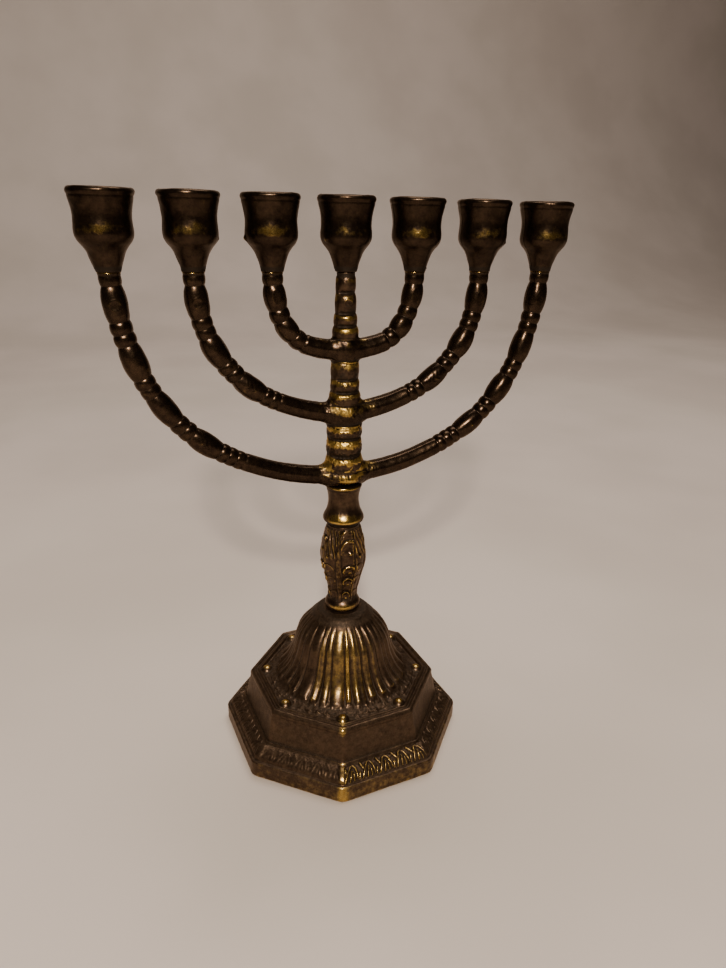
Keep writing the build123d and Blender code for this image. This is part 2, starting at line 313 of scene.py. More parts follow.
class Nodes:
    """Short calls for building a node tree."""

    def __init__(self, name):
        self.mat = bpy.data.materials.new(name)
        self.mat.use_nodes = True
        self.nt = self.mat.node_tree
        self.nt.nodes.clear()
        self.out = self.nt.nodes.new("ShaderNodeOutputMaterial")
        self.bsdf = self.nt.nodes.new("ShaderNodeBsdfPrincipled")
        self.nt.links.new(self.bsdf.outputs[0], self.out.inputs[0])
        self.obj = self.nt.nodes.new("ShaderNodeTexCoord").outputs["Object"]

    def link(self, a, b):
        self.nt.links.new(a, b)

    def value(self, socket, v):
        if isinstance(v, bpy.types.NodeSocket):
            self.link(v, socket)
        else:
            socket.default_value = v

    def math(self, op, a, b=0.0, c=None, clamp=False):
        n = self.nt.nodes.new("ShaderNodeMath")
        n.operation = op
        n.use_clamp = clamp
        self.value(n.inputs[0], a)
        self.value(n.inputs[1], b)
        if c is not None:
            self.value(n.inputs[2], c)
        return n.outputs[0]

    def span(self, v, a, b, lo=0.0, hi=1.0, kind="SMOOTHSTEP"):
        n = self.nt.nodes.new("ShaderNodeMapRange")
        n.interpolation_type = kind
        self.value(n.inputs["Value"], v)
        n.inputs["From Min"].default_value = a
        n.inputs["From Max"].default_value = b
        n.inputs["To Min"].default_value = lo
        n.inputs["To Max"].default_value = hi
        return n.outputs[0]

    def noise(self, size_mm, detail=3.0, rough=0.55, stretch=None, distortion=0.0, seed=0.0):
        m = self.nt.nodes.new("ShaderNodeMapping")
        m.inputs["Scale"].default_value = [1000.0 / size_mm * k for k in (stretch or (1, 1, 1))]
        m.inputs["Location"].default_value = (seed * 3.7, seed * 1.9, seed * 5.3)
        self.link(self.obj, m.inputs["Vector"])
        n = self.nt.nodes.new("ShaderNodeTexNoise")
        n.inputs["Scale"].default_value = 1.0
        n.inputs["Detail"].default_value = detail
        n.inputs["Roughness"].default_value = rough
        n.inputs["Distortion"].default_value = distortion
        self.link(m.outputs[0], n.inputs["Vector"])
        return n.outputs["Fac"]

    def cells(self, size_mm, feature="F1", seed=0.0):
        m = self.nt.nodes.new("ShaderNodeMapping")
        m.inputs["Scale"].default_value = [1000.0 / size_mm] * 3
        m.inputs["Location"].default_value = (seed * 2.1, seed * 4.3, seed * 1.7)
        self.link(self.obj, m.inputs["Vector"])
        n = self.nt.nodes.new("ShaderNodeTexVoronoi")
        n.feature = feature
        n.inputs["Scale"].default_value = 1.0
        self.link(m.outputs[0], n.inputs["Vector"])
        return n.outputs["Distance"]

    def attribute(self, name):
        n = self.nt.nodes.new("ShaderNodeAttribute")
        n.attribute_name = name
        return n.outputs["Fac"]

    def mix(self, fac, a, b):
        n = self.nt.nodes.new("ShaderNodeMix")
        n.data_type = "RGBA"
        self.value(n.inputs["Factor"], fac)
        self.value(n.inputs["A"], a)
        self.value(n.inputs["B"], b)
        return n.outputs["Result"]

    def lerp(self, fac, a, b):
        n = self.nt.nodes.new("ShaderNodeMix")
        n.data_type = "FLOAT"
        self.value(n.inputs["Factor"], fac)
        self.value(n.inputs["A"], a)
        self.value(n.inputs["B"], b)
        return n.outputs["Result"]

    def bump(self, height, distance_mm, strength=1.0, normal=None):
        n = self.nt.nodes.new("ShaderNodeBump")
        n.inputs["Strength"].default_value = strength
        n.inputs["Distance"].default_value = distance_mm * MM
        self.link(height, n.inputs["Height"])
        if normal is not None:
            self.link(normal, n.inputs["Normal"])
        return n.outputs["Normal"]


def colour(r, g, b):
    return (r, g, b, 1.0)


def brass(name, bright_metal=0.0, tone=0.0, grain=0.5, rough=0.0, seed=0.0, dust=0.0, spots=0.3, braze=0.0):
    """Aged cast brass: brown patina, gold where high spots are rubbed and where painted highlights are set, darker
    where painted shade is set, dark grime in the recesses.
    bright_metal raises the amount of bright metal, tone lightens the patina, grain the cast skin, dust a matte brown
    film, spots how uneven the patina is, braze how much rougher the bright parts are."""
    n = Nodes(name)
    edge, form, wear_and_painted_light = n.attribute("edge"), n.attribute("form"), n.attribute("wear_and_painted_light")
    cloud = n.noise(11.0, 4.0, 0.6, seed=seed)
    mottle = n.noise(2.6, 4.0, 0.65, seed=seed + 3)
    fleck = n.noise(0.6, 3.0, 0.6, seed=seed + 7)
    streak = n.noise(1.0, 3.0, 0.6, stretch=(1.0, 1.0, 0.16), seed=seed + 11)
    # patina: browns and olive, finely mottled
    k = 1.0 + tone
    dark = colour(0.034 * k, 0.0215 * k, 0.0160 * k)
    mid = colour(0.074 * k, 0.048 * k, 0.032 * k)
    olive = colour(0.069 * k, 0.052 * k, 0.028 * k)
    tint = n.math("ADD", n.math("MULTIPLY", cloud, spots), n.math("MULTIPLY", mottle, 1.0 - spots))
    patina = n.mix(n.span(tint, 0.34, 0.68), dark, mid)
    patina = n.mix(n.math("MULTIPLY", n.span(fleck, 0.45, 0.7), 0.45), patina, olive)
    # rubbed metal on what stands proud, plus the painted highlights and painted shade given per point
    proud = n.math("ADD", n.math("MULTIPLY", form, 0.9), n.math("MULTIPLY", edge, 0.9))
    proud = n.math("ADD", proud, wear_and_painted_light)
    proud = n.math("ADD", proud, n.math("MULTIPLY", n.math("SUBTRACT", mottle, 0.5), 0.7))
    proud = n.math("ADD", proud, n.math("MULTIPLY", n.math("SUBTRACT", cloud, 0.5), 0.3 * spots))
    worn = n.span(proud, 0.10 - 0.3 * bright_metal, 0.62 - 0.3 * bright_metal)
    gold = n.mix(n.span(streak, 0.3, 0.7), colour(0.52, 0.345, 0.110), colour(0.70, 0.50, 0.19))
    base = n.mix(n.math("MULTIPLY", worn, 0.9), patina, gold)
    # grime in hollows
    low = n.math("ADD", n.math("MULTIPLY", form, -1.0), n.math("MULTIPLY", edge, -1.2))
    low = n.math("ADD", low, n.math("MULTIPLY", n.math("SUBTRACT", fleck, 0.5), 0.4))
    low = n.math("SUBTRACT", low, n.math("MULTIPLY", wear_and_painted_light, 0.7))
    grime = n.span(low, 0.06, 0.42)
    base = n.mix(n.math("MULTIPLY", grime, 0.88), base, colour(0.018, 0.011, 0.006))
    # dull film of dust and handling
    film = n.math("MULTIPLY", n.span(n.noise(0.9, 3.0, 0.7, seed=seed + 19), 0.3, 0.7), dust)
    base = n.mix(film, base, colour(0.150, 0.098, 0.062))
    # fine dark specks
    speck = n.math("MULTIPLY", n.span(n.cells(1.7, seed=seed + 23), 0.0, 0.2, 1.0, 0.0), n.span(fleck, 0.5, 0.62))
    base = n.mix(n.math("MULTIPLY", speck, 0.6), base, colour(0.02, 0.013, 0.007))
    n.link(base, n.bsdf.inputs["Base Color"])
    metal = n.lerp(worn, 0.90, 1.0)
    metal = n.math("SUBTRACT", metal, n.math("MULTIPLY", grime, 0.5))
    metal = n.math("SUBTRACT", metal, n.math("MULTIPLY", film, 0.5), clamp=True)
    n.link(metal, n.bsdf.inputs["Metallic"])
    r = n.lerp(worn, 0.37 + rough, 0.25 + rough)
    r = n.math("ADD", r, n.math("MULTIPLY", grime, 0.25))
    r = n.math("ADD", r, n.math("MULTIPLY", n.span(wear_and_painted_light, 0.0, 0.5), braze))
    r = n.math("ADD", r, n.math("MULTIPLY", n.math("SUBTRACT", fleck, 0.5), 0.18))
    r = n.math("ADD", r, n.math("MULTIPLY", film, 0.16), clamp=True)
    n.link(r, n.bsdf.inputs["Roughness"])
    n.bsdf.inputs["Specular IOR Level"].default_value = 0.6
    n.bsdf.inputs["Specular Tint"].default_value = (1.0, 0.90, 0.80, 1.0)
    h = n.bump(n.noise(0.5, 4.0, 0.65, seed=seed + 29), 0.05 * grain, 0.9)
    h = n.bump(n.noise(2.2, 2.0, 0.5, seed=seed + 31), 0.09 * grain, 0.8, normal=h)
    pits = n.span(n.cells(1.2, seed=seed + 37), 0.0, 0.3)
    h = n.bump(pits, 0.04 * grain, 0.7, normal=h)
    h = n.bump(streak, 0.012, 0.6, normal=h)
    n.link(h, n.bsdf.inputs["Normal"])
    return n.mat


def steel(name, seed=0.0):
    """Dull zinc-plated steel: grey with a yellowish cast, white bloom in the corners and fine turning marks."""
    n = Nodes(name)
    edge = n.attribute("edge")
    cloud = n.noise(5.0, 4.0, 0.6, seed=seed)
    fleck = n.noise(0.6, 3.0, 0.6, seed=seed + 5)
    base = n.mix(n.span(cloud, 0.35, 0.65), colour(0.30, 0.295, 0.27), colour(0.44, 0.42, 0.36))
    bloom = n.span(n.math("ADD", n.math("MULTIPLY", edge, -1.3), n.math("MULTIPLY", n.math("SUBTRACT", fleck, 0.5), 0.6)), 0.08, 0.5)
    base = n.mix(n.math("MULTIPLY", bloom, 0.6), base, colour(0.20, 0.18, 0.15))
    rust = n.math("MULTIPLY", n.span(n.noise(2.6, 4.0, 0.7, seed=seed + 9), 0.6, 0.74), 0.6)
    base = n.mix(rust, base, colour(0.16, 0.075, 0.03))
    n.link(base, n.bsdf.inputs["Base Color"])
    n.link(n.math("SUBTRACT", 1.0, n.math("ADD", n.math("MULTIPLY", rust, 0.6), n.math("MULTIPLY", bloom, 0.3)), clamp=True), n.bsdf.inputs["Metallic"])
    n.link(n.math("ADD", 0.34, n.math("ADD", n.math("MULTIPLY", fleck, 0.16), n.math("MULTIPLY", rust, 0.4)), clamp=True), n.bsdf.inputs["Roughness"])
    h = n.bump(n.noise(0.5, 3.0, 0.6, seed=seed + 13), 0.02, 0.8)
    n.link(h, n.bsdf.inputs["Normal"])
    return n.mat


# ------------------------------------------------------------------ stem outline
# beads of the stem: (z of the groove below, groove radius, bead radius), bottom to top, for each length
STEMS = {
    "stem_lower": ([(139.5, 7.75, 8.5), (147.2, 7.3, 8.0), (155.3, 7.1, 8.0)], 161.6, 7.5),
    "stem_middle": ([(170.5, 6.45, 7.1), (176.3, 5.9, 6.35), (181.9, 5.7, 6.2)], 189.9, 5.7),
    "stem_upper": ([(199.0, 5.0, 5.7), (204.7, 4.55, 5.1), (209.9, 4.05, 4.6), (218.4, 3.6, 4.25)], 225.2, 3.75),
}
HUBS = {"outer": (132.8, 139.5, 7.65, 8.35), "middle": (161.5, 170.5, 6.75, 7.45), "inner": (190.0, 199.0, 5.1, 5.9)}


def bead_run(beads, top, top_r, power=0.75):
    """Outline (r, z) of a run of beads."""
    pts = []
    for i, (z0, g0, rb) in enumerate(beads):
        z1, g1 = (beads[i + 1][0], beads[i + 1][1]) if i + 1 < len(beads) else (top, top_r)
        t = np.linspace(0.0, 1.0, 26)[:-1]
        neck = g0 + (g1 - g0) * t
        pts.append(np.column_stack([neck + (rb - neck) * (1.0 - np.abs(2 * t - 1) ** 2.3) ** power, z0 + (z1 - z0) * t]))
    pts.append(np.array([[top_r, top]]))
    return np.vstack(pts)


STEM_LINE = {k: bead_run(*v) for k, v in STEMS.items()}
ALL_LINE = np.vstack([STEM_LINE["stem_lower"], STEM_LINE["stem_middle"], STEM_LINE["stem_upper"]])


def stem_radius(z):
    return np.interp(z, ALL_LINE[:, 1], ALL_LINE[:, 0])


# ------------------------------------------------------------------ branches
ARMS = {
    "outer": [(0, 136.1), (11, 137.7), (17.3, 138.6), (23.3, 139.7), (29, 141.1), (35, 143.0), (40.5, 145.1),
              (46, 147.4), (51.3, 150.1), (56.6, 153.2), (61.5, 156.6), (66.1, 160.4), (70.4, 164.6), (74.2, 169.1),
              (77.7, 173.9), (80.9, 178.9), (83.6, 184.1), (85.8, 189.5), (87.7, 195.2), (89.4, 200.9), (90.7, 206.7),
              (91.7, 212.6), (92.4, 218.7), (93.0, 226.6)],
    "middle": [(0, 165.9), (10.5, 167.3), (16.5, 168.6), (22.2, 170.2), (28, 172.3), (33.5, 174.8), (38.6, 177.9),
               (43.4, 181.5), (47.6, 185.6), (51.5, 190.2), (54.8, 195.0), (57.4, 200.1), (59.3, 205.5),
               (60.8, 211.5), (61.6, 217.5), (62.0, 226.6)],
    "inner": [(0, 194.4), (9.5, 195.1), (14.5, 196.2), (19.2, 198.1), (22.9, 201.0), (25.8, 204.6), (27.9, 208.6),
              (29.4, 213.4), (30.4, 218.0), (31.0, 226.6)],
}
# beads along each arm by arc length from the hub: (kind, start, end, radius)
BEADS = {
    "outer": [("bead", 47.8, 51.6, 4.2), ("bead", 51.6, 55.4, 4.25), ("bead", 55.4, 59.1, 4.25),
              ("long", 59.1, 73.0, 4.8), ("bead", 73.0, 77.2, 4.25), ("bead", 77.2, 81.4, 4.25),
              ("long", 81.4, 95.4, 4.85), ("bead", 95.4, 99.4, 4.2), ("bead", 99.4, 103.5, 4.25),
              ("long", 103.5, 117.6, 4.9), ("bead", 117.6, 122.0, 4.3), ("bead", 122.0, 126.7, 4.3),
              ("long", 126.7, 140.3, 4.85), ("bead", 140.3, 144.9, 4.25)],
    "middle": [("bead", 31.3, 34.7, 4.2), ("bead", 34.7, 38.3, 4.25), ("long", 38.3, 51.3, 4.75),
               ("bead", 51.3, 55.3, 4.25), ("bead", 55.3, 59.4, 4.25), ("long", 59.4, 71.9, 4.85),
               ("bead", 71.9, 75.8, 4.2), ("bead", 75.8, 79.9, 4.25), ("long", 79.9, 92.6, 4.8),
               ("bead", 92.6, 97.3, 4.25)],
    "inner": [("bead", 19.5, 24.1, 4.3), ("long", 24.1, 32.5, 4.65), ("bead", 32.5, 37.2, 4.35),
              ("long", 37.2, 47.2, 4.7), ("bead", 47.2, 51.9, 4.25)],
}
PLAIN = {"outer": (3.35, 4.2, 4.0), "middle": (4.35, 4.35, 4.1), "inner": (4.35, 4.4, 4.25)}
GROOVE = 3.72
# raised ring and rosette ornaments: (arm, side, arc length, kind, size)
MOTIFS = {
    "outer": [(-1, 133.2, "ring", 2.0), (-1, 66.0, "leaf", 2.2), (1, 66.5, "rosette", 1.6), (1, 133.2, "oval", 2.0)],
    "middle": [(-1, 86.0, "ring", 1.9), (1, 86.0, "oval", 1.9), (1, 45.0, "leaf", 2.4), (-1, 45.0, "leaf", 2.2)],
    "inner": [(-1, 42.2, "oval", 1.8), (1, 42.2, "oval", 1.8)],
}


def arm_radius(name, s, side):
    """Radius of an arm at arc length s (array, absolute) from the hub's middle."""
    hub, near, far = PLAIN[name]
    beads = BEADS[name]
    first = beads[0][1]
    r = hub + (near - hub) * smooth(s, 0.0, 10.0) + (far - near) * smooth(s, 12.0, first - 4.0)
    r = r + (GROOVE + 0.1 - far) * hump(s - first, 0.8)
    for i, (kind, a, b, rb) in enumerate(beads):
        rb = rb * (1.0 + 0.018 * math.sin(7.3 * i + 2.1 * side))
        inside = (s >= a) & (s <= b)
        t = np.clip((s - a) / (b - a), 0.0, 1.0)
        skew = 0.5 * math.sin(3.7 * i + side) * 0.12
        t = t + skew * t * (1 - t)
        shape = (1.0 - np.abs(2 * t - 1) ** 2.1) ** (0.72 if kind == "bead" else 0.85)
        r = np.where(inside, GROOVE + (rb - GROOVE) * shape, r)
    end = beads[-1][2]
    r = np.where(s > end - 0.8, np.maximum(r, 4.15 + 0.35 * smooth(s, end - 0.8, end + 0.6)), r)
    return r


def smin(a, b, k):
    h = np.clip(0.5 + 0.5 * (b - a) / k, 0.0, 1.0)
    return b * (1 - h) + a * h - k * h * (1 - h)


def branch(name, around, step):
    z0, z1, neck_r, bulge_r = HUBS[name]
    pts = ARMS[name]
    line = spline([(-x, z) for x, z in pts[:0:-1]] + pts, 60)
    s_all = arc(line)
    mid = np.interp(0.0, line[:, 0], s_all)
    s_all = s_all - mid
    reach = s_all[-1]
    # stations: even, finer in the hub
    fine = np.arange(0.0, 17.0, 0.22 * FINE)
    coarse = np.linspace(17.0, reach, int((reach - 17.0) / step) + 1)
    half = np.r_[fine, coarse]
    s = np.r_[-half[:0:-1], half]
    x = np.interp(s, s_all, line[:, 0])
    z = np.interp(s, s_all, line[:, 1])
    ahead = np.column_stack([np.interp(s + 0.4, s_all, line[:, 0]), np.interp(s + 0.4, s_all, line[:, 1])])
    back = np.column_stack([np.interp(s - 0.4, s_all, line[:, 0]), np.interp(s - 0.4, s_all, line[:, 1])])
    t = ahead - back
    t /= np.linalg.norm(t, axis=1)[:, None]
    up = smooth(np.abs(s), reach - 5.0, reach - 0.3)[:, None]
    t = t * (1 - up) + up * np.column_stack([0 * s, np.sign(s)])
    t /= np.linalg.norm(t, axis=1)[:, None]
    th = np.arange(around) * TAU / around
    cb, sn = np.cos(th)[None, :], np.sin(th)[None, :]
    r = np.where(s < 0, arm_radius(name, np.abs(s), -1), arm_radius(name, np.abs(s), 1))[:, None]
    # a casting's section: a little boxy, with a faint parting seam along the top and bottom
    sec = r * (1.0 - 0.018 * np.cos(4 * th)[None, :] + 0.01 * cb)
    plain = 1.0 - smooth(np.abs(s), BEADS[name][0][1] - 3.0, BEADS[name][0][1])[:, None]
    sec = sec * (1.0 + plain * 0.02 * np.cos(6 * th + 0.6)[None, :])
    centre = np.stack([x, 0 * x, z], axis=1)[:, None, :]
    bvec = np.array([0.0, 1.0, 0.0])
    nvec = np.stack([-t[:, 1], 0 * x, t[:, 0]], axis=1)[:, None, :]
    ray = cb[..., None] * bvec + sn[..., None] * nvec
    # hub: the tube and the stem's drum run together, with a fillet where they meet
    hub = np.abs(s) < 17.0
    k = {"outer": 5.4, "middle": 4.4, "inner": 3.2}[name]
    over = {"outer": 4.6, "middle": 3.8, "inner": 2.8}[name]
    swell = {"outer": 0.6, "middle": 0.4, "inner": 0.3}[name]
    under = 0.0 if name == "outer" else over
    zc, zh = (z0 + z1) / 2, (z1 - z0) / 2

    def inside(rho):
        p = centre[hub] + rho[..., None] * ray[hub]
        u = np.clip((p[..., 2] - zc) / zh, -1.0, 1.0)
        rad = np.where((p[..., 2] > z0) & (p[..., 2] < z1), neck_r + (bulge_r - neck_r) * np.sqrt(1 - u**2) ** 1.2,
                       stem_radius(p[..., 2]) - 0.28)
        rxy = np.hypot(p[..., 0], p[..., 1])
        rad = rad + swell * (p[..., 1] / np.maximum(rxy, 0.1)) ** 2 * np.clip(1 - u**2, 0, 1)
        if name == "outer":
            cut = np.clip((136.4 - p[..., 2]) / 3.5, 0.0, 1.0)
            rad = rad - 2.7 * cut**1.6 * (p[..., 1] / np.maximum(rxy, 0.1)) ** 2
        drum = np.maximum(rxy - rad, np.maximum(p[..., 2] - z1 - over, z0 - under - p[..., 2]))
        # no fillet needed in front and behind, where the drum itself is the surface
        kk = k * (0.35 + 0.65 * smooth(np.abs(p[..., 0]) / np.maximum(rxy, 0.1), 0.35, 0.8))
        d = smin(rho - sec[hub], drum, kk)
        if name == "outer":
            d = np.maximum(d, 132.84 - p[..., 2])
        return d

    lo = np.full(sec[hub].shape, 0.4)
    hi = np.full(sec[hub].shape, 15.0)
    for _ in range(26):
        m = 0.5 * (lo + hi)
        neg = inside(m) < 0
        lo = np.where(neg, m, lo)
        hi = np.where(neg, hi, m)
    rho = sec.copy()
    rho[hub] = 0.5 * (lo + hi)
    blend = smooth(np.abs(s), 14.0, 17.0)[:, None]
    rho = rho * (1 - blend) + sec * blend
    p = centre + rho[..., None] * ray
    # surface: casting wobble, braze granules round the hub, seam, ornaments
    amp = fbm(p, 6.0, 11) * 0.10 + noise(p, 1.6, 5) * 0.035
    near = (1.0 - smooth(np.abs(s), 8.0, 19.0))[:, None] * {"outer": 1.0, "middle": 0.7, "inner": 0.3}[name]
    amp = amp + near * (noise(p, 0.75, 21) * 0.14 + noise(p, 1.9, 23) * 0.12)
    sc = np.abs(sn)
    amp = amp + 0.16 * hump(np.abs(cb), 0.055) * (0.6 + 0.4 * noise(p, 3.0, 9)) * (sc > 0.5) * (1 - near * 0.5)
    for side, at, kind, size in MOTIFS[name]:
        ds = (s * side - at)[:, None]
        for face in (-1.0, 1.0):                       # front (-Y) and back
            dt = np.where(cb * face > 0, sn * r, 99.0)
            q = np.hypot(ds, dt)
            if kind == "ring":
                amp = amp + 0.10 * hump(q - size, 0.45) - 0.24 * hump(q, size * 0.66) + 0.06 * hump(q, 0.6)
            elif kind == "oval":
                q = np.hypot(ds / 1.7, dt / 0.95)
                amp = amp - 0.14 * hump(q, size * 0.7) + 0.08 * hump(q - size, 0.4)
            elif kind == "rosette":
                ang = np.arctan2(dt, ds)
                amp = amp + 0.22 * bump(q, size) * (0.55 + 0.45 * np.cos(6 * ang)) + 0.15 * hump(q, 0.5)
            else:
                v = np.abs(dt) * 0.9 - ds
                amp = amp + 0.09 * np.cos(v * TAU / 2.3) * bump(ds, size * 1.9) * bump(dt, size * 1.35)
    fade = smooth(reach - np.abs(s), 0.1, 1.5)[:, None]
    drop = amp * fade
    if name == "outer":                                # keeps the flat under the hub flat
        drop = drop * np.where((p[..., 2] < 133.15) & (np.abs(p[..., 0]) < 9.5), 0.0, 1.0)
    p = p + drop[..., None] * ray
    # handling wear: the brazed hub is bright; painted light keeps that to its upper side, painted shade darkens the
    # undersides, and the arm ends stay unworn
    lift = p[..., 2] - z[:, None]
    hub_wear_and_painted_light = near * ((0.45 + 0.3 * noise(p, 3.0, 25)) * smooth(lift, -0.5, 2.0) - 0.45 * (1 - smooth(lift, -3.2, 0.2)))
    hub_wear_and_painted_light = hub_wear_and_painted_light - 1.0 * (1 - smooth(reach - np.abs(s), 0.4, 1.8))[:, None]
    rings = [p[i] for i in range(len(p))]
    # socket for the cup's spigot at each end
    ends = []
    for e, sgn in ((0, -1.0), (len(p) - 1, 1.0)):
        c = np.array([x[e], 0.0, z[e]])
        out = []
        for rr, dz in ((3.0, 0.0), (2.05, 0.0), (2.03, -0.1), (2.03, -1.6), (2.03, -3.2), (1.0, -3.3)):
            out.append(c + rr * ray[e] + np.array([0.0, 0.0, dz]))
        ends.append((out, c + np.array([0.0, 0.0, -3.3])))
    rings = ends[0][0][::-1] + rings + ends[1][0]
    none = [np.zeros(around)] * len(ends[0][0])
    return make(f"{name}_branch_casting", rings, poles=(ends[0][1], ends[1][1]), node=f"{name}_branch",
                wear_and_painted_light=none + [hub_wear_and_painted_light[i] for i in range(len(p))] + none)


# ------------------------------------------------------------------ stem lengths
def stem(label, n):
    beads, top, top_r = STEMS[label]
    low = beads[0][0]
    g0 = beads[0][1]
    line = [tuple(q) for q in STEM_LINE[label]]
    bore = 3.1 if label == "stem_lower" else None
    if label == "stem_lower":
        start = [("l", [(3.06, 151.0), (3.06, low), (g0, low)])]
    else:
        start = [("l", [(0.05, low - 3.0), (1.98, low - 3.0), (1.98, low), (g0, low)])]
    if label == "stem_upper":
        finish = [("l", [(top_r, top), (3.85, 226.0), (3.85, 226.6), (2.03, 226.6), (2.03, 223.3), (0.05, 223.3)])]
    else:
        finish = [("l", [(top_r, top), (2.03, top), (2.03, top - 3.3), (0.05, top - 3.3)])]
    prof = profile(*start, ("l", line), *finish, step=0.24 * FINE, soft=0.16)
    g, th = turn(prof, n)
    skin = (smooth(prof[:, 1], low + 0.1, low + 0.8) * (1 - smooth(prof[:, 1], top - 0.8, top - 0.1)))[:, None]
    skin = skin * (prof[:, 0] > 3.3)[:, None]
    rough = {"stem_lower": 1.0, "stem_middle": 0.45, "stem_upper": 0.2}[label]
    amp = fbm(g, 5.0, 31) * 0.12 + rough * (noise(g, 0.85, 33) * 0.17 + noise(g, 1.8, 35) * 0.17)
    # grooves fill in a little on the left flank, and a parting seam runs up each side
    groove = np.clip(stem_max(prof[:, 1], label) - prof[:, 0], 0, 2)[:, None]
    amp = amp + groove * 0.62 * smooth(-np.cos(th), 0.72, 0.98)[None, :] * (0.7 + 0.5 * noise(g, 3.0, 37))
    amp = amp + groove * 0.30 * smooth(np.cos(th), 0.86, 1.0)[None, :]
    amp = amp - groove * 0.95 * smooth(np.abs(np.sin(th)), 0.25, 0.85)[None, :]
    amp = amp + 0.14 * hump(np.sin(th), 0.05)[None, :] * (0.5 + 0.5 * noise(g, 2.5, 39))
    for zc, size, kind, off in STEM_MOTIFS.get(label, ()):
        for face in (-1.0, 1.0):
            dt = np.where(np.sin(th)[None, :] * face > 0, g[..., 0] * face * -1.0 - off, 99.0)
            dz = g[..., 2] - zc
            q = np.hypot(dt, dz)
            if kind == "ring":
                amp = amp + 0.20 * hump(q - size, 0.35) - 0.24 * hump(q, size * 0.6) + 0.14 * hump(q, 0.45)
            else:
                ang = np.arctan2(dz, dt)
                amp = amp + 0.34 * bump(q, size) * (0.5 + 0.5 * np.cos(6 * ang)) + 0.2 * hump(q, 0.45)
    push(g, prof, th, amp * skin)
    zs = np.array([b[0] for b in beads] + [top])
    which = np.clip(np.searchsorted(zs, prof[:, 1]) - 1, 0, len(beads) - 1)
    part = np.clip((prof[:, 1] - zs[which]) / (zs[which + 1] - zs[which]), 0, 1)
    # painted light: the upper part of each bead is brighter and its lower part darker, as if lit from above
    bright_metal = (0.50 * hump(part - 0.76, 0.24) - 0.60 * (1 - smooth(part, 0.28, 0.66))) * rough**0.5
    if label == "stem_upper":
        bright_metal = bright_metal - 1.0 * smooth(prof[:, 1], 224.0, 225.4)
    wear_and_painted_light = [v + 0.25 * noise(g[i], 2.6, 41) for i, v in enumerate(bright_metal)]
    if label == "stem_lower":
        rings = [g[i] for i in range(len(g))]
        return make("stem_lower_casting", rings, poles=((0, 0, 151.0), (0, 0, top - 3.3)), node=label, wear_and_painted_light=wear_and_painted_light)
    rings = [g[i] for i in range(len(g))]
    return make(f"{label}_casting", rings, poles=((0, 0, low - 3.0), (0, 0, prof[-1, 1])), node=label, wear_and_painted_light=wear_and_painted_light)


def stem_max(z, label):
    """Smooth envelope over a stem length's beads."""
    beads = STEMS[label][0]
    zs = [b[0] for b in beads] + [STEMS[label][1]]
    mids = [(zs[i] + zs[i + 1]) / 2 for i in range(len(beads))]
    return np.interp(z, mids, [b[2] for b in beads])


STEM_MOTIFS = {"stem_middle": [(179.0, 1.7, "rosette", -1.6)], "stem_upper": [(214.2, 1.75, "ring", 0.0)]}

# ------------------------------------------------------------------ candle cups
CUP_SIDE = [(4.65, 227.5), (4.8, 228.2), (5.1, 229.4), (5.55, 230.8), (6.05, 232.2), (6.6, 233.6), (7.4, 235.0),
            (8.4, 236.3), (9.4, 237.5), (10.1, 238.9)]
CUP_WALL = [(10.1, 238.9), (10.42, 240.4), (10.45, 241.8), (10.3, 243.8), (10.2, 246.0), (10.38, 248.2),
            (10.75, 250.2), (11.15, 251.9), (11.45, 253.1), (11.7, 254.1)]


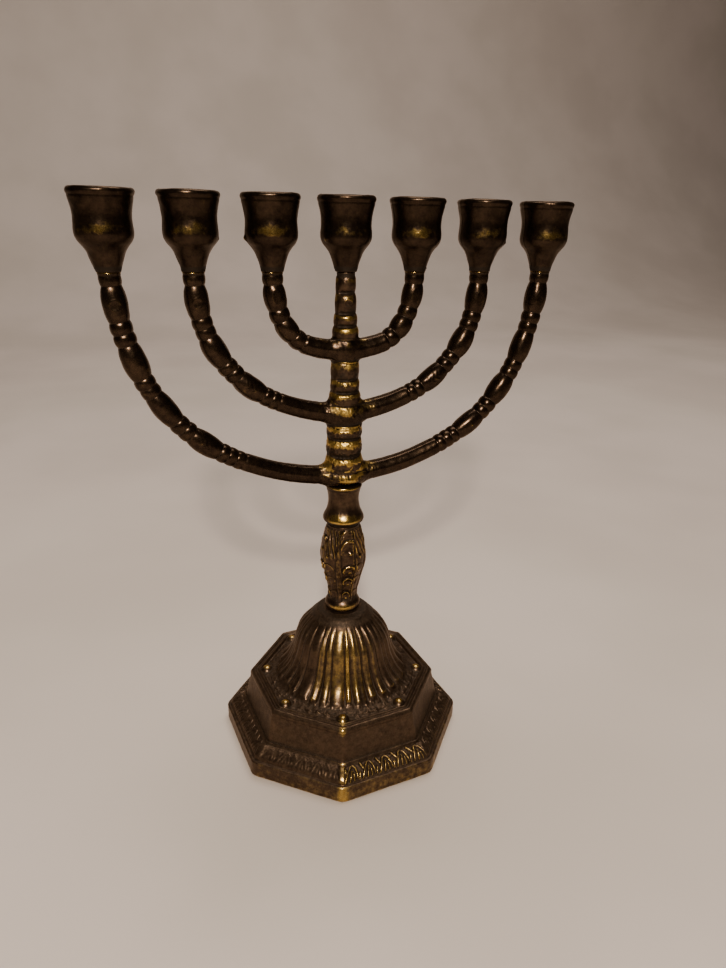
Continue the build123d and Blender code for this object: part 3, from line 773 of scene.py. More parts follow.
def cup(index, n):
    x = (index - 4) * 31.0
    seed = 100 + 13 * index
    prof = profile(
        ("l", [(0.05, 223.7), (1.97, 223.7), (1.97, 226.64), (4.3, 226.64), (4.55, 226.9), (4.65, 227.5)]),
        ("s", CUP_SIDE),
        ("s", CUP_WALL),
        ("s", [(11.7, 254.1), (11.8, 254.6), (11.7, 255.15), (11.4, 255.6), (10.9, 255.9), (10.3, 256.0),
               (9.6, 255.92), (9.0, 255.6), (8.55, 255.0), (8.3, 254.3)]),
        ("l", [(8.3, 254.3), (8.26, 253.4), (8.25, 240.4)]),
        ("s", [(8.25, 240.4), (7.9, 239.9), (7.0, 239.6), (4.0, 239.45), (0.05, 239.4)]),
        step=0.24 * FINE, soft=0.13,
    )
    g, th = turn(prof, n, centre=(x, 0.0))
    outer = np.arange(len(prof)) < np.argmax(prof[:, 1])
    rise = prof[:, 1]
    side = (outer & (rise > 227.0)).astype(float)
    side = side * smooth(rise, 227.0, 228.2)
    wob = fbm(g, 7.0, seed) * 0.13 + noise(g, 2.2, seed + 1) * 0.05 + noise(g, 0.9, seed + 2) * 0.018
    # out of round by a tenth or two
    wob = wob + 0.11 * np.cos(2 * (th - 0.7 * index))[None, :] + 0.05 * np.cos(3 * (th - 1.3 * index))[None, :]
    amp = wob * side[:, None]
    # parting seam on both flanks, where the two halves of the mould met
    seam = hump(np.sin(th), 0.035)[None, :] * (0.75 + 0.5 * noise(g, 4.0, seed + 3))
    amp = amp + 0.16 * seam * side[:, None]
    lip = (hump(rise - 255.2, 1.1) * (prof[:, 0] > 9.8))[:, None]
    amp = amp + lip * (0.10 * fbm(g, 5.0, seed + 5))
    # crease under the lip, and a soft ledge where barrel meets funnel
    amp = amp - side[:, None] * 0.14 * hump(rise - 253.3, 0.5)[:, None] + side[:, None] * 0.05 * hump(rise - 239.6, 0.8)[:, None]
    deep = (~outer & (prof[:, 0] < 9.0)).astype(float)
    amp = amp - np.abs(fbm(g, 3.0, seed + 7)) * 0.05 * deep[:, None]
    # flash left by the casting on some cups
    nubs = {3: [(math.pi, 239.4, 0.75, 0.9, 1.0)], 4: [(math.pi * 1.12, 239.3, 0.65, 0.8, 0.8)],
            6: [(-0.62, 246.5, 0.26, 0.3, 8.5), (-0.5, 238.7, 0.45, 1.0, 0.8)], 7: [(0.2, 255.3, 0.35, 1.4, 0.7), (1.5, 255.6, 0.3, 1.1, 0.6)],
            5: [(0.05, 227.9, 0.6, 0.8, 0.7)], 2: [(0.0, 238.9, 0.35, 0.9, 0.9)], 1: [(math.pi, 231.0, 0.3, 0.7, 2.4)]}
    for ang, zc, high, wide, tall in nubs.get(index, ()):
        da = (th - ang + math.pi) % TAU - math.pi
        d = (da[None, :] * prof[:, 0][:, None]) / wide
        amp = amp + high * np.exp(-(d**2) - ((rise[:, None] - zc) / tall) ** 2) * (side + lip[:, 0])[:, None].clip(0, 1)
    push(g, prof, th, amp)
    rings = [g[i] for i in range(len(g))]
    bright_metal = -0.9 * (1 - smooth(rise, 227.8, 229.8)) - 0.30 * smooth(rise, 253.0, 254.4) - 0.35 * hump(rise - 239.2, 1.4)
    # painted highlight on the front of the barrel, on the side facing the camera
    front_painted_light = 0.5 + 0.5 * np.cos(th + math.radians(100.0))
    wear_and_painted_light = [v + 0.30 * front_painted_light**6 * hump(z - 242.0, 3.2) * (1.0 + 0.6 * noise(g[i], 5.0, seed + 9))
            for i, (v, z) in enumerate(zip(bright_metal, rise))]
    return make(f"candle_cup_{index}_casting", rings, poles=((x, 0, 223.7), (x, 0, 239.4)), node=f"candle_cup_{index}",
                wear_and_painted_light=wear_and_painted_light)


# ------------------------------------------------------------------ collar
def collar(n):
    prof = profile(
        ("l", [(3.52, 130.0), (3.52, 112.84), (7.6, 112.84), (7.72, 112.95)]),
        ("s", [(7.72, 112.95), (7.66, 113.4), (7.85, 113.8), (8.6, 114.15), (9.3, 114.7), (9.62, 115.5), (9.56, 116.4),
               (9.2, 117.4), (8.68, 118.5), (8.1, 119.8), (7.62, 121.3), (7.3, 123.0), (7.15, 124.9), (7.2, 126.5),
               (7.42, 128.1), (7.8, 129.7), (8.02, 130.4)]),
        ("s", [(8.02, 130.4), (7.98, 130.75), (8.25, 131.2), (8.5, 131.8), (8.48, 132.35), (8.25, 132.7), (7.9, 132.76)]),
        ("l", [(7.9, 132.76), (3.52, 132.76), (3.52, 130.0)]),
        step=0.24 * FINE, soft=0.13, closed=True,
    )[:-1]
    g, th = turn(prof, n)
    side = smooth(prof[:, 1], 112.9, 113.6) * (1 - smooth(prof[:, 1], 131.6, 132.4)) * (prof[:, 0] > 4.5)
    amp = fbm(g, 6.0, 51) * 0.11 + noise(g, 1.7, 53) * 0.035
    amp = amp + 0.05 * np.cos(np.floor(6 * th / TAU) * 2.2)[None, :] * hump(prof[:, 1] - 121.0, 4.0)[:, None]
    amp = amp + 0.12 * hump(np.sin(th - 0.3), 0.04)[None, :] * (0.6 + 0.4 * noise(g, 2.5, 55))
    push(g, prof, th, amp * side[:, None])
    h = prof[:, 1]
    # kept unworn at the bottom edge and at the ring line; the top face under the hub is darkened as painted shadow
    dark = -2.2 * (1 - smooth(h, 114.7, 115.6)) - 0.30 * smooth(h, 128.8, 130.2) - 0.6 * (prof[:, 0] < 7.8) * (h > 132.5)
    front_painted_light = np.clip(0.5 + 0.5 * np.cos(th + math.radians(104.0)), 0, 1) ** 2      # painted highlight on the front, with painted shade on the sides below
    wear_and_painted_light = [d + front_painted_light**2 * (0.70 * hump(z - 117.0, 2.8) + 0.9 * hump(z - 132.3, 0.6))
            - (1 - front_painted_light) * (0.60 * hump(z - 115.4, 1.6) + 0.45 * hump(z - 132.0, 1.2)) for d, z in zip(dark, h)]
    return make("collar_casting", [g[i] for i in range(len(g))], closed=True, body="collar_body", node="collar", wear_and_painted_light=wear_and_painted_light)


# ------------------------------------------------------------------ baluster with acanthus leaves
LEAF_AT = math.radians(-119.0)      # azimuth of the first leaf's midrib
LOBES = [(6.3, 104.8, 7.4), (6.2, 100.9, 6.2), (5.9, 91.0, 3.7), (5.4, 84.0, 3.4), (4.7, 76.0, 3.1)]


def baluster(n):
    flank = [(7.45, 72.7), (7.1, 73.7), (6.95, 75.2), (7.1, 77.4), (7.5, 79.6), (8.2, 82.6), (8.95, 85.9),
             (9.75, 88.8), (10.55, 91.8), (10.95, 94.6), (10.9, 97.2), (10.4, 100.6), (9.65, 104.2), (8.75, 107.8),
             (8.0, 110.4), (7.75, 111.8)]
    prof = profile(
        ("l", [(3.52, 90.0), (3.52, 67.54), (7.5, 67.54)]),
        ("s", [(7.5, 67.54), (8.3, 68.3), (8.6, 69.5), (8.5, 70.8), (8.0, 71.9), (7.45, 72.7)]),
        ("s", flank),
        ("l", [(7.65, 111.8), (7.75, 112.1), (7.75, 112.76), (3.52, 112.76), (3.52, 90.0)]),
        step=0.22 * FINE, soft=0.12, closed=True,
    )[:-1]
    g, th = turn(prof, n)
    z = prof[:, 1][:, None]
    r = prof[:, 0][:, None]
    on = smooth(z, 72.6, 74.2) * (1 - smooth(z, 110.6, 112.0)) * (r > 4.5)
    sector = TAU / 4
    rel = ((th - LEAF_AT + sector / 2) % sector) - sector / 2        # angle from the nearest leaf's midrib
    x = np.abs(rel)[None, :] * 11.0 + 0 * z                           # mm across, as at the widest part
    half = 8.25
    left = smooth(-rel, 0.0, 0.02)[None, :] + 0 * z
    h = -0.16 + 0.10 * fbm(g, 4.0, 61)
    # scrolled lobes, drawn from the top down, so that each overlaps the one above: (across, up, radius)
    for ex, ez, big in LOBES:
        q = np.hypot((x - ex) * 1.02, (z - ez) * (1.0 if big > 5 else 1.12))
        inside = (q < big) & ((z > ez - 0.8) | (q < 1.6))
        body = -0.02 + 0.22 * smooth(q, big * 0.3, big)
        rim = (0.42 if big > 5 else 0.20) * hump(q - (big - 0.8), 0.72 if big > 5 else 1.2)
        vein = 0.30 * hump(q - (big - 2.3), 0.62) * (z > ez + 0.4) if big > 5 else 0.0
        eye = 0.62 * bump(np.hypot(x - ex, z - ez + 0.5), 1.5)
        h = np.where(inside, body + rim + vein + eye, h - 0.30 * hump(q - big - 0.15, 0.6) * (z > ez))
    # the leaf's other half has long steep veins above and the same scrolls, fainter, below
    veins = x - (z - 103.6) * 0.33
    steep = 0.30 * np.cos((veins - 0.7) * TAU / 2.5) + 0.10 * np.cos(z * 0.9)
    high = smooth(z, 96.2, 98.6)
    tipped = 0.5 * bump(np.hypot(x - 5.6, (z - 98.2) * 0.8), 1.3)
    h = h * (1 - left) + left * (high * steep + (1 - high) * 0.4 * h + tipped)
    # midrib: a smooth band between two fine grooves
    rib = np.interp(z, [72, 84, 96, 108], [1.35, 1.65, 1.3, 0.5])
    h = h * smooth(x, rib * 0.85, rib * 1.3)
    h = h + 0.42 * bump(x, rib * 1.2) - 0.26 * hump(x - rib * 1.25, 0.3)
    # ground between the leaves, and the leaf's rolled edge
    h = h - 0.50 * smooth(x, half - 0.2, half + 0.35) + 0.20 * hump(x - (half - 0.5), 0.3)
    h = h + 0.45 * hump(z - 92.4, 1.6) * hump(x - 7.4, 0.8)
    h = h + fbm(g, 3.2, 63) * 0.10 + noise(g, 1.1, 65) * 0.05
    h = (h - 0.10) * on
    # small worn leaves on the foot ring
    ring = hump(z - 69.8, 1.5) * (r > 4.5)
    h = h + ring * 0.06 * noise(g, 1.4, 67)
    push(g, prof, th, h)
    up = prof[:, 1]
    bright_metal = -0.55 * smooth(up, 111.0, 112.2) - 2.2 * (1 - smooth(up, 68.0, 69.0)) - 0.35 * hump(up - 73.6, 0.9)
    # painted highlight on the front of the foot ring, painted shade on its sides
    front_painted_light = np.clip(0.5 + 0.5 * np.cos(th + math.radians(104.0)), 0, 1) ** 2
    return make("baluster_casting", [g[i] for i in range(len(g))], closed=True, body="baluster_body", node="baluster",
                wear_and_painted_light=[v + 0.40 * front_painted_light**2 * hump(z - 70.3, 1.3) - 0.6 * (1 - front_painted_light) * hump(z - 69.4, 2.2) for v, z in zip(bright_metal, up)])


# ------------------------------------------------------------------ base
A0 = math.radians(BASE_TURN - 90.0)                   # direction of the first corner
FLUTES = 32


def octagon(th, p):
    """Radius of an octagon with corner radius 1 in direction th; p sets how sharp the corners are."""
    out = np.zeros_like(th)
    for k in range(8):
        out += np.clip(np.cos(th - (A0 + math.radians(22.5 + 45.0 * k))), 0.0, None) ** p
    return math.cos(math.radians(22.5)) / out ** (1.0 / p)


# strokes of one leaf of the band, in mm: across, up the slope; and half-widths
STROKES = [([(-3.3, 0.5), (-2.5, 2.4), (-1.5, 4.4), (-0.5, 5.9), (0.9, 6.3), (2.1, 5.3), (2.9, 3.4), (3.3, 1.5)], 0.62),
           ([(-0.7, 0.7), (-0.3, 2.3), (0.3, 4.1)], 0.66), ([(1.5, 0.6), (1.5, 2.0), (1.3, 3.1)], 0.52),
           ([(-4.3, 6.6), (-3.5, 5.4), (-2.7, 4.3)], 0.72), ([(4.6, 2.9), (4.3, 1.6), (4.2, 0.7)], 0.5)]


def fans(along, across):
    """Relief of the leaf band, 0 to 1: arched leaves in a row with a small slanting leaf between. along is in
    leaves from the corner, across runs from 0 at the bottom to 1 at the top of the band."""
    x = (along - np.floor(along) - 0.5) * 9.2
    y = across * 7.3
    out = np.zeros_like(x)
    for pts, wide in STROKES:
        near = np.full_like(x, 99.0)
        for (x0, y0), (x1, y1) in zip(pts, pts[1:]):
            for lap in (-9.2, 0.0, 9.2):
                ax, ay = x - lap - x0, y - y0
                bx, by = x1 - x0, y1 - y0
                t = np.clip((ax * bx + ay * by) / (bx * bx + by * by), 0, 1)
                near = np.minimum(near, np.hypot(ax - t * bx, ay - t * by))
        out = np.maximum(out, np.sqrt(np.clip(1 - (near / wide) ** 2, 0, 1)))
    return out


def base(n):
    """The whole casting as one closed skin: foot, plinth, leaf band, wall, rim, deck, dome, seat, hole and the
    hollow inside. Each station of the outline is (octagon radius or circle radius, z, weight of the octagon,
    corner sharpness)."""
    outline = []

    def run(points, kind="l", step=0.3, w=(1.0, 1.0), p=(85.0, 85.0), soft=0.0):
        q = spline(points, 30) if kind == "s" else np.asarray(points, dtype=float)
        q = resample(q, step * FINE)
        t = np.linspace(0, 1, len(q))
        ww = w[0] + (w[1] - w[0]) * t * t * (3 - 2 * t)
        pp = p[0] + (p[1] - p[0]) * t
        outline.extend([(a, b, c, d) for (a, b), c, d in zip(q[:-1], ww[:-1], pp[:-1])])

    run([(57.4, 0.0), (59.7, 0.0)], step=0.6)
    run([(59.7, 0.0), (60.15, 0.2), (60.3, 0.7)], "s", step=0.2)
    run([(60.3, 0.7), (60.2, 7.2)], step=0.5)
    run([(60.2, 7.2), (60.1, 7.75), (59.7, 8.05), (59.2, 8.1)], "s", step=0.15)
    run([(59.2, 8.1), (58.6, 8.1), (58.35, 8.3)], step=0.2)
    mark0 = len(outline)
    run([(58.35, 8.3), (57.9, 9.6), (56.9, 10.9), (55.2, 12.1), (53.2, 12.95), (51.9, 13.3)], "s", step=0.17)
    mark1 = len(outline)
    run([(51.9, 13.3), (51.6, 13.7), (51.2, 14.1), (50.7, 14.15), (50.3, 13.85)], "s", step=0.16, p=(110, 150))
    run([(50.3, 13.85), (50.0, 14.2)], step=0.2, p=(150, 190))
    run([(50.0, 14.2), (49.0, 18.4), (47.9, 23.4), (47.15, 26.9)], "s", step=0.4, p=(190, 190))
    run([(47.15, 26.9), (47.25, 27.5), (47.1, 28.3), (46.6, 29.1), (45.9, 29.65), (45.1, 29.8)], "s", step=0.16, p=(190, 190))
    run([(45.1, 29.8), (44.6, 29.5), (44.1, 29.15), (43.6, 29.2), (43.1, 29.6), (42.6, 29.8), (42.1, 29.6), (41.7, 29.0), (41.3, 28.6)], "s", step=0.16, p=(190, 150))
    run([(41.3, 28.6), (40.2, 28.5), (38.6, 28.75)], "s", step=0.24, w=(1.0, 0.55), p=(150, 60))
    run([(38.6, 28.75), (37.3, 29.05), (36.2, 29.5)], "s", step=0.24, w=(0.55, 0.0), p=(60, 40))
    mark2 = len(outline)
    run([(36.2, 29.5), (35.0, 30.25), (33.2, 31.6), (31.1, 33.4), (29.1, 35.6), (27.4, 38.1), (25.9, 41.2),
         (24.8, 44.0), (24.0, 46.8), (23.35, 49.4), (22.45, 52.5), (21.0, 55.6), (19.0, 58.8), (17.0, 61.4),
         (15.2, 63.5), (13.9, 64.95), (12.9, 65.95), (12.1, 66.5)], "s", step=0.3, w=(0, 0))
    mark3 = len(outline)
    run([(12.1, 66.5), (11.4, 66.75), (10.6, 66.95), (9.9, 67.12), (9.4, 67.3), (9.1, 67.42)], "s", step=0.2, w=(0, 0))
    run([(9.1, 67.42), (8.8, 67.46), (3.7, 67.46), (3.5, 67.3), (3.5, 60.2), (3.7, 60.0), (14.2, 60.0)], step=0.8, w=(0, 0))
    run([(14.2, 60.0), (16.4, 57.9), (18.4, 54.4), (20.0, 48.8), (21.4, 42.5), (23.2, 37.2), (26.2, 32.4), (30.0, 28.2), (33.2, 26.0)], "s", step=0.9, w=(0, 0))
    run([(33.2, 26.0), (38.0, 25.5), (42.6, 25.3)], "s", step=0.9, w=(0, 1), p=(40, 110))
    run([(42.6, 25.3), (43.4, 24.7), (44.0, 22.0), (45.5, 16.2), (46.6, 12.0)], "s", step=0.9)
    run([(46.6, 12.0), (48.0, 10.6), (52.0, 7.9), (55.6, 5.5), (56.7, 4.4)], "s", step=0.8)
    run([(56.7, 4.4), (56.9, 0.6), (57.4, 0.0)], step=0.6)
    o = np.array(outline)
    idx = np.arange(len(o))
    # how many points around: most where the relief is
    count = np.full(len(o), n)
    count[(idx >= mark0) & (idx <= mark1)] = 2 * n
    seat = idx > mark3 + 2
    count[seat] = n // 2
    tang = np.gradient(o[:, :2], axis=0)
    tang /= np.maximum(np.linalg.norm(tang, axis=1), 1e-9)[:, None]
    out_r, out_z = tang[:, 1], -tang[:, 0]
    # flute boundaries, a little uneven as they were carved
    rng = np.array([math.sin(12.9898 * (k + 1)) * 43758.5453 % 1.0 for k in range(FLUTES * 3)])
    jitter = (rng[:FLUTES] - 0.5) * 0.56
    highs = 0.62 + 0.62 * rng[FLUTES : 2 * FLUTES]
    ends = (rng[2 * FLUTES :] - 0.5) * 1.6
    rings, ring_wear_and_painted_light = [], []
    deck_lo, deck_hi = 27.9, 31.0
    for i in range(len(o)):
        r0, z, w, p = o[i]
        m = count[i]
        th = A0 + np.arange(m) * TAU / m
        oc = octagon(th, p)
        rad = r0 * (w * oc + (1 - w))
        h = np.zeros(m)
        pts = np.stack([rad * np.cos(th), rad * np.sin(th), np.full(m, z)], axis=1)
        outer_side = i <= mark3
        if outer_side:
            h += fbm(pts, 9.0, 71) * 0.14 * (0.4 if z < 1.0 else 1.0) + noise(pts, 2.0, 73) * 0.045
        else:
            h += (fbm(pts, 5.0, 75) * 0.35 + noise(pts, 1.6, 77) * 0.12) * (1.0 if (z > 1.5 and r0 > 15) else 0.0)
        if mark0 <= i <= mark1:
            across = (i - mark0) / max(1, mark1 - mark0)
            k = (th - A0) / (TAU / 8)
            f = k - np.floor(k)
            # position along the straight face
            lin = 0.5 + 0.5 * np.tan((f - 0.5) * TAU / 8) / math.tan(TAU / 16)
            clear = smooth(lin, 0.012, 0.035) * (1 - smooth(lin, 0.965, 0.988))
            face = np.floor(k).astype(int) % 8
            crisp = np.array([1.0, 0.26, 0.62, 0.7, 0.55, 0.4, 0.16, 0.05])[face] * (1.0 + 0.25 * noise(pts, 8.0, 79))
            rel = fans(lin * 5.0 + 1e-6, np.full(m, across))
            edge_fade = smooth(across, 0.0, 0.08) * (1 - smooth(across, 0.9, 1.0))
            h += (rel * 1.05 - 0.55) * crisp * clear * edge_fade
            h += noise(pts, 0.8, 81) * 0.08 * edge_fade * np.clip(crisp, 0.15, 1.0)
            # rounded boss at each corner
            corner = 1.0 - smooth(np.minimum(f, 1 - f) * TAU / 8 * rad, 0.8, 2.6)
            h += 0.30 * corner * edge_fade
        if mark2 - 8 <= i <= mark3:
            # flutes of the dome
            k = (th - A0) / (TAU / FLUTES)
            low = np.floor(k).astype(int) % FLUTES
            nxt = (low + 1) % FLUTES
            a0 = np.floor(k) + jitter[low]
            a1 = np.floor(k) + 1 + jitter[nxt]
            under = k < a0
            over = k >= a1
            idc = np.where(under, (low - 1) % FLUTES, np.where(over, nxt, low))
            lo_b = np.where(under, np.floor(k) - 1 + jitter[(low - 1) % FLUTES], np.where(over, a1, a0))
            hi_b = np.where(under, a0, np.where(over, np.floor(k) + 2 + jitter[(low + 2) % FLUTES], a1))
            f = (k - lo_b) / (hi_b - lo_b)
            # narrow tongues low down, full ridges higher
            wide = np.interp(r0, [16.0, 24.0, 27.0, 31.0, 34.5], [0.92, 0.96, 0.94, 0.84, 0.66])
            c = np.clip(np.abs(2 * f - 1) / wide, 0, 1)
            ridge = (1 - c**2.3) ** 0.72
            tall = np.interp(z, [28.6, 29.6, 30.8, 33.0, 38.0, 44.0, 52.0, 57.0, 60.0, 62.5, 64.0],
                             [0.0, 0.45, 1.35, 1.75, 1.65, 1.45, 1.35, 1.15, 0.75, 0.25, 0.0])
            tip = smooth(32.9 + ends[idc] - r0, -0.9, 1.6) if r0 > 28 else 1.0
            h += tall * (highs[idc] * ridge * tip - 0.48)
            h += tall * 0.10 * np.cos(TAU * (2.0 * f + 0.25)) * smooth(np.sin(idc * 2.399), 0.2, 0.6)
            # granular ground between the tongues
            h += noise(pts, 0.8, 83) * 0.13 * (1 - ridge * tip) * (1.0 if z < 34 else 0.25)
        rr = rad + out_r[i] * h
        zz = z + out_z[i] * h
        if outer_side and deck_lo < z < deck_hi and r0 < 42.0 and r0 > 30.0:
            # deck: granular ground, a pearl in each corner, low leaves between
            px, py = rr * np.cos(th), rr * np.sin(th)
            on = smooth(41.6 - r0, 0.0, 0.8)
            zz = zz + on * (noise(pts, 1.0, 85) * 0.07 + noise(pts, 3.6, 87) * 0.22) * smooth(r0, 33.0, 36.0)
            for kk in range(8):
                ca = A0 + kk * TAU / 8
                d = np.hypot(px - 38.6 * math.cos(ca), py - 38.6 * math.sin(ca))
                pearl = np.clip(1 - (d / 3.1) ** 2, 0, 1) ** 0.66
                zz = np.maximum(zz, 28.6 + 2.5 * pearl - 6.0 * (d > 3.1))
                zz = zz + 0.16 * hump(d - 3.9, 0.8) * on
                for off, size in ((-0.19, 1.5), (0.19, 1.5), (-0.33, 1.15), (0.33, 1.15)):
                    rr_l = 37.2 if abs(off) < 0.3 else 36.4
                    e = np.hypot(px - rr_l * math.cos(ca + off), (py - rr_l * math.sin(ca + off)))
                    zz = zz + 0.32 * bump(e, size * 1.25) * on
        rings.append(np.stack([rr * np.cos(th), rr * np.sin(th), np.maximum(zz, 0.0)], axis=1))
        kc = (th - A0) / (TAU / 8)
        off = np.abs(kc - np.round(kc)) * TAU / 8 * rad             # mm from the nearest corner
        turned = hump(off, 2.2) * w if (outer_side and r0 > 41.0) else np.zeros(m)
        # painted light on the base's corners: the front corner lighter, the others darker, on top of the corners' wear
        corner_painted_light = np.array([1.0, -1.0, -1.2, -0.8, -0.9, -0.8, -1.2, -1.0])[np.round(kc).astype(int) % 8]
        front = 0.5 + 0.5 * np.cos(th + math.radians(104.0))          # painted light: brightest on the side facing the camera
        # painted highlight on the dome's flutes towards the camera, painted shade on its sides
        dome_painted_light = (-0.22 + 0.56 * front**6) * smooth(z, 31.0, 36.0) * (1 - smooth(z, 61.5, 64.0)) if outer_side else 0.0
        # wear on the plinth's ledge, with painted light making it brighter towards the front right
        plinth_wear_and_painted_light = (0.14 + 0.14 * np.cos(th + math.radians(70.0))) * hump(z - 4.0, 3.8) if (outer_side and r0 > 59) else 0.0
        # painted shade on the deck and round the dome's top ring, darker on the wall; the inside is darker because it
        # is never worn
        painted_shade_and_unworn = -0.30 * (1 - smooth(z, 29.5, 32.0)) if (outer_side and r0 < 41.0) else 0.0
        if outer_side and z > 62.0:
            painted_shade_and_unworn = -0.45 * smooth(z, 62.0, 64.5) - 0.35 * smooth(z, 65.8, 66.8)
        elif outer_side and 14.4 < z < 26.5:
            painted_shade_and_unworn = -0.22
        elif not outer_side and z > 1.5:
            painted_shade_and_unworn = -0.6                                            # never handled inside
        px, py = rad * np.cos(th), rad * np.sin(th)
        near = np.full(m, 9.0)
        for kk in range(8):
            near = np.minimum(near, np.hypot(px - 38.6 * math.cos(A0 + kk * TAU / 8), py - 38.6 * math.sin(A0 + kk * TAU / 8)))
        gem = 0.7 * bump(near, 2.8) if (outer_side and 34.0 < r0 < 43.0) else 0.0
        ring_wear_and_painted_light.append(0.30 * turned * corner_painted_light * (1.0 if z > 26 or z < 14 else 0.12) + dome_painted_light + plinth_wear_and_painted_light + painted_shade_and_unworn + gem)
    return make("base_casting_skin", rings, closed=True, body="base", node="base_casting", wear_and_painted_light=ring_wear_and_painted_light)


# ------------------------------------------------------------------ tie rod, washer, nut
PITCH = 1.0


def thread(r_root, r_crest, z, th, clearance=0.0):
    """Radius of a right-handed thread at height z and angle th."""
    f = (z / PITCH - th / TAU) % 1.0
    t = np.clip((np.abs(2 * f - 1) - 0.12) / 0.76, 0.0, 1.0)
    return r_root + (r_crest - r_root) * t + clearance


def tie_rod(n):
    z0, z1 = 45.0, 150.0
    z = np.arange(z0, z1 + 1e-6, 0.125 * FINE)
    th = np.arange(n) * TAU / n
    zz, tt = np.meshgrid(z, th, indexing="ij")
    r = thread(2.42, 2.99, zz, tt)
    r = np.minimum(r, 2.35 + np.minimum(zz - z0, z1 - zz) * 1.0)
    g = np.stack([r * np.cos(tt), r * np.sin(tt), zz], axis=-1)
    return make("tie_rod_threaded", [g[i] for i in range(len(g))], poles=((0, 0, z0), (0, 0, z1)), node="tie_rod")


def washer(n):
    zt, zb = 59.97, 58.43
    prof = profile(("l", [(3.22, zb), (5.6, zb)]), ("s", [(5.6, zb), (5.9, zb + 0.2), (5.98, zb + 0.6)]),
                   ("l", [(5.98, zb + 0.6), (5.98, zt - 0.1), (5.85, zt), (3.32, zt), (3.22, zt - 0.12), (3.22, zb)]),
                   step=0.16, soft=0.05, closed=True)[:-1]
    g, th = turn(prof, n)
    amp = noise(g, 1.6, 91) * 0.02 + 0.02 * np.cos(3 * th)[None, :]
    push(g, prof, th, amp * np.ones((len(prof), 1)) * ((prof[:, 1] > zb + 0.1) & (prof[:, 1] < zt - 0.1))[:, None])
    return make("washer_plated", [g[i] for i in range(len(g))], closed=True, body="washer_body", node="washer")


def hex_nut(n):
    zt, zb = 58.38, 53.2
    flat = 5.0
    th = np.arange(n) * TAU / n
    hexr = np.zeros(n)
    for k in range(6):
        hexr += np.clip(np.cos(th - math.radians(90.0 + 60.0 * k)), 0, None) ** 260
    hexr = flat / hexr ** (1 / 260)
    rings = []

    def ring(r, z):
        rings.append(np.stack([r * np.cos(th), r * np.sin(th), np.full(n, z) if np.isscalar(z) else z], axis=1))

    for r in (3.45, 4.0, 4.7):
        ring(np.full(n, r), zb)
    for z in np.linspace(zb + 0.02, zb + 0.85, 7):
        ring(np.minimum(hexr, 4.75 + (z - zb) * 1.55), z)
    for z in np.linspace(zb + 0.95, zt - 0.95, 14):
        ring(hexr - 0.02 * np.sin(9 * z), z)
    for z in np.linspace(zt - 0.85, zt - 0.02, 7):
        ring(np.minimum(hexr, 4.75 + (zt - z) * 1.55), z)
    for r in (4.7, 4.0, 3.45):
        ring(np.full(n, r), zt)
    for z in np.arange(zt - 0.1, zb + 0.05, -0.1):
        r = thread(2.46, 3.04, z, th, 0.03)
        ring(np.maximum(r, np.minimum(3.40, 3.45 - min(zt - z, z - zb) * 0.9)), z)
    return make("hex_nut_plated", rings, closed=True, body="nut_body", node="hex_nut", sharp=40)


# ------------------------------------------------------------------ build everything
brass_cup = brass("brass_cup", bright_metal=-0.5, tone=0.0, grain=0.45, rough=-0.06, seed=1.0, spots=0.4)
brass_arm = brass("brass_arm", bright_metal=-0.42, tone=0.1, grain=0.45, rough=-0.09, seed=2.0, braze=0.26)
brass_stem = brass("brass_stem", bright_metal=0.0, tone=0.9, grain=1.3, rough=-0.02, seed=3.0, braze=0.16)
brass_collar = brass("brass_collar", bright_metal=-0.35, tone=0.8, grain=0.4, rough=-0.03, seed=4.0)
brass_leaf = brass("brass_leaf", bright_metal=-0.02, tone=1.0, grain=0.5, rough=-0.06, seed=5.0)
brass_base = brass("brass_base", bright_metal=-0.18, tone=0.9, grain=0.6, rough=-0.02, seed=6.0, dust=0.32)
zinc = steel("zinc_plate", seed=8.0)

AROUND = 96 // FINE
for arm in ("outer", "middle", "inner"):
    branch(arm, AROUND, 0.29 * FINE).data.materials.append(brass_arm)
for label in STEMS:
    stem(label, 160 // FINE).data.materials.append(brass_stem)
for number in range(1, 8):
    cup(number, 160 // FINE).data.materials.append(brass_cup)
collar(180 // FINE).data.materials.append(brass_collar)
baluster(320 // FINE).data.materials.append(brass_leaf)
base(768 // FINE).data.materials.append(brass_base)
tie_rod(40).data.materials.append(zinc)
washer(96).data.materials.append(zinc)
hex_nut(120).data.materials.append(zinc)


# ------------------------------------------------------------------ floor, light, camera
def floor_material():
    n = Nodes("pale_floor")
    cloud = n.noise(220.0, 3.0, 0.5, seed=1.0)
    fine = n.noise(2.2, 2.0, 0.5, seed=2.0)
    base = n.mix(n.span(cloud, 0.3, 0.7), colour(0.60, 0.535, 0.49), colour(0.66, 0.59, 0.545))
    n.link(base, n.bsdf.inputs["Base Color"])
    n.bsdf.inputs["Roughness"].default_value = 0.9
    n.bsdf.inputs["Specular IOR Level"].default_value = 0.15
    n.link(n.bump(fine, 0.08, 0.4), n.bsdf.inputs["Normal"])
    return n.mat


def sweep():
    """Floor that curves up far behind the object into a plain backdrop, so that there is no horizon."""
    line = [(-4.0, 0.0), (1.2, 0.0)]
    line += [(1.2 + 0.9 * math.sin(a), 0.9 - 0.9 * math.cos(a)) for a in np.linspace(0.0, math.pi / 2, 33)[1:]]
    line += [(2.1, 4.0)]
    verts = [(x, y, z) for y, z in line for x in (-4.0, 4.0)]
    faces = [(2 * i, 2 * i + 1, 2 * i + 3, 2 * i + 2) for i in range(len(line) - 1)]
    mesh = bpy.data.meshes.new("floor")
    mesh.from_pydata(verts, [], faces)
    mesh.polygons.foreach_set("use_smooth", [True] * len(faces))
    mesh.materials.append(floor_material())
    obj = bpy.data.objects.new("floor", mesh)
    obj.location = (0, 0, -0.0002)
    bpy.context.scene.collection.objects.link(obj)


sweep()


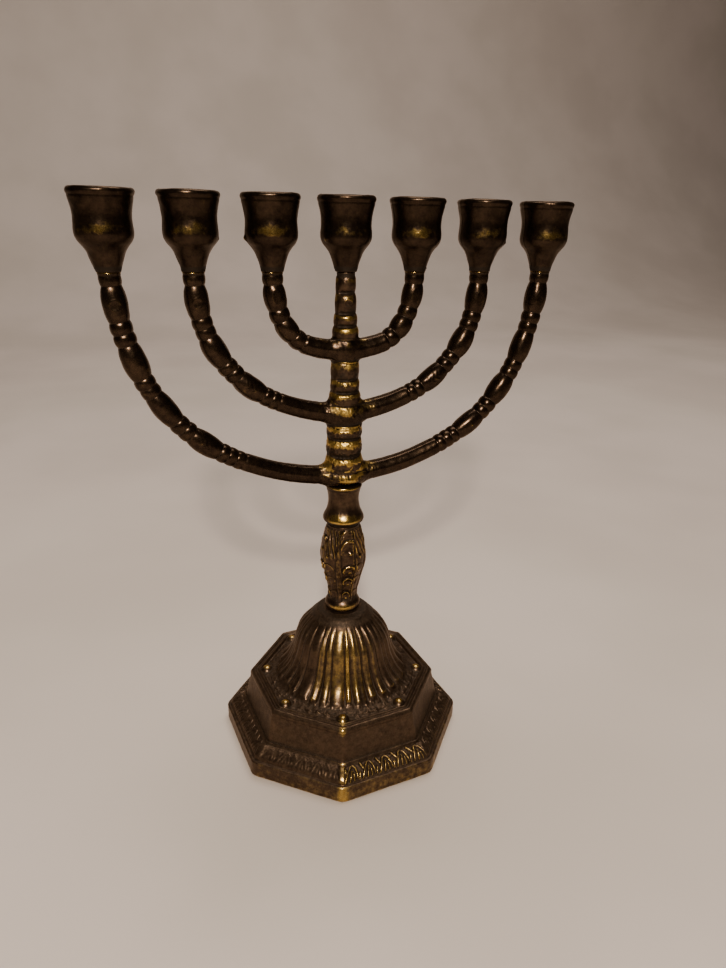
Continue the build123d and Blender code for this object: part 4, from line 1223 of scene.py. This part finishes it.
def area(name, at, look, size, power, colour_rgb):
    light = bpy.data.lights.new(name, "AREA")
    light.shape = "DISK"
    light.size = size
    light.energy = power
    light.color = colour_rgb
    obj = bpy.data.objects.new(name, light)
    obj.location = at
    obj.rotation_euler = (Vector(look) - Vector(at)).to_track_quat("-Z", "Y").to_euler()
    bpy.context.scene.collection.objects.link(obj)
    return obj


area("key", (-0.28, -0.86, 0.78), (0.0, 0.0, 0.12), 0.11, 9.5, (1.0, 0.91, 0.79))
area("overhead", (0.3, 0.5, 2.0), (0.1, 0.6, 0.0), 1.4, 22.0, (1.0, 0.93, 0.86))
area("front", (-0.75, -1.5, 1.7), (0.0, 0.0, 0.12), 0.9, 1.6, (1.0, 0.92, 0.82))

world = bpy.data.worlds.new("studio")
world.use_nodes = True
bg = world.node_tree.nodes["Background"]
bg.inputs["Color"].default_value = (0.62, 0.52, 0.44, 1.0)
bg.inputs["Strength"].default_value = 0.11
bpy.context.scene.world = world
bpy.context.scene.view_settings.view_transform = "AgX"
bpy.context.scene.view_settings.look = "AgX - Medium High Contrast"

yaw, pitch, roll = math.radians(19.19), math.radians(21.11), math.radians(1.24)
fwd = Vector((math.sin(yaw) * math.cos(pitch), math.cos(yaw) * math.cos(pitch), -math.sin(pitch)))
right = Vector((math.cos(yaw), -math.sin(yaw), 0.0))
upv = right.cross(fwd)
r2 = right * math.cos(roll) + upv * math.sin(roll)
u2 = upv * math.cos(roll) - right * math.sin(roll)
cam_data = bpy.data.cameras.new("camera")
cam_data.lens = 25.345
cam_data.sensor_width = 36.0
cam_data.sensor_fit = "AUTO"
cam_data.clip_start = 0.01
cam = bpy.data.objects.new("camera", cam_data)
m = Matrix((
    (r2.x, u2.x, -fwd.x, -0.08885),
    (r2.y, u2.y, -fwd.y, -0.28266),
    (r2.z, u2.z, -fwd.z, 0.24654),
    (0.0, 0.0, 0.0, 1.0),
))
cam.matrix_world = m
bpy.context.scene.collection.objects.link(cam)
bpy.context.scene.camera = cam
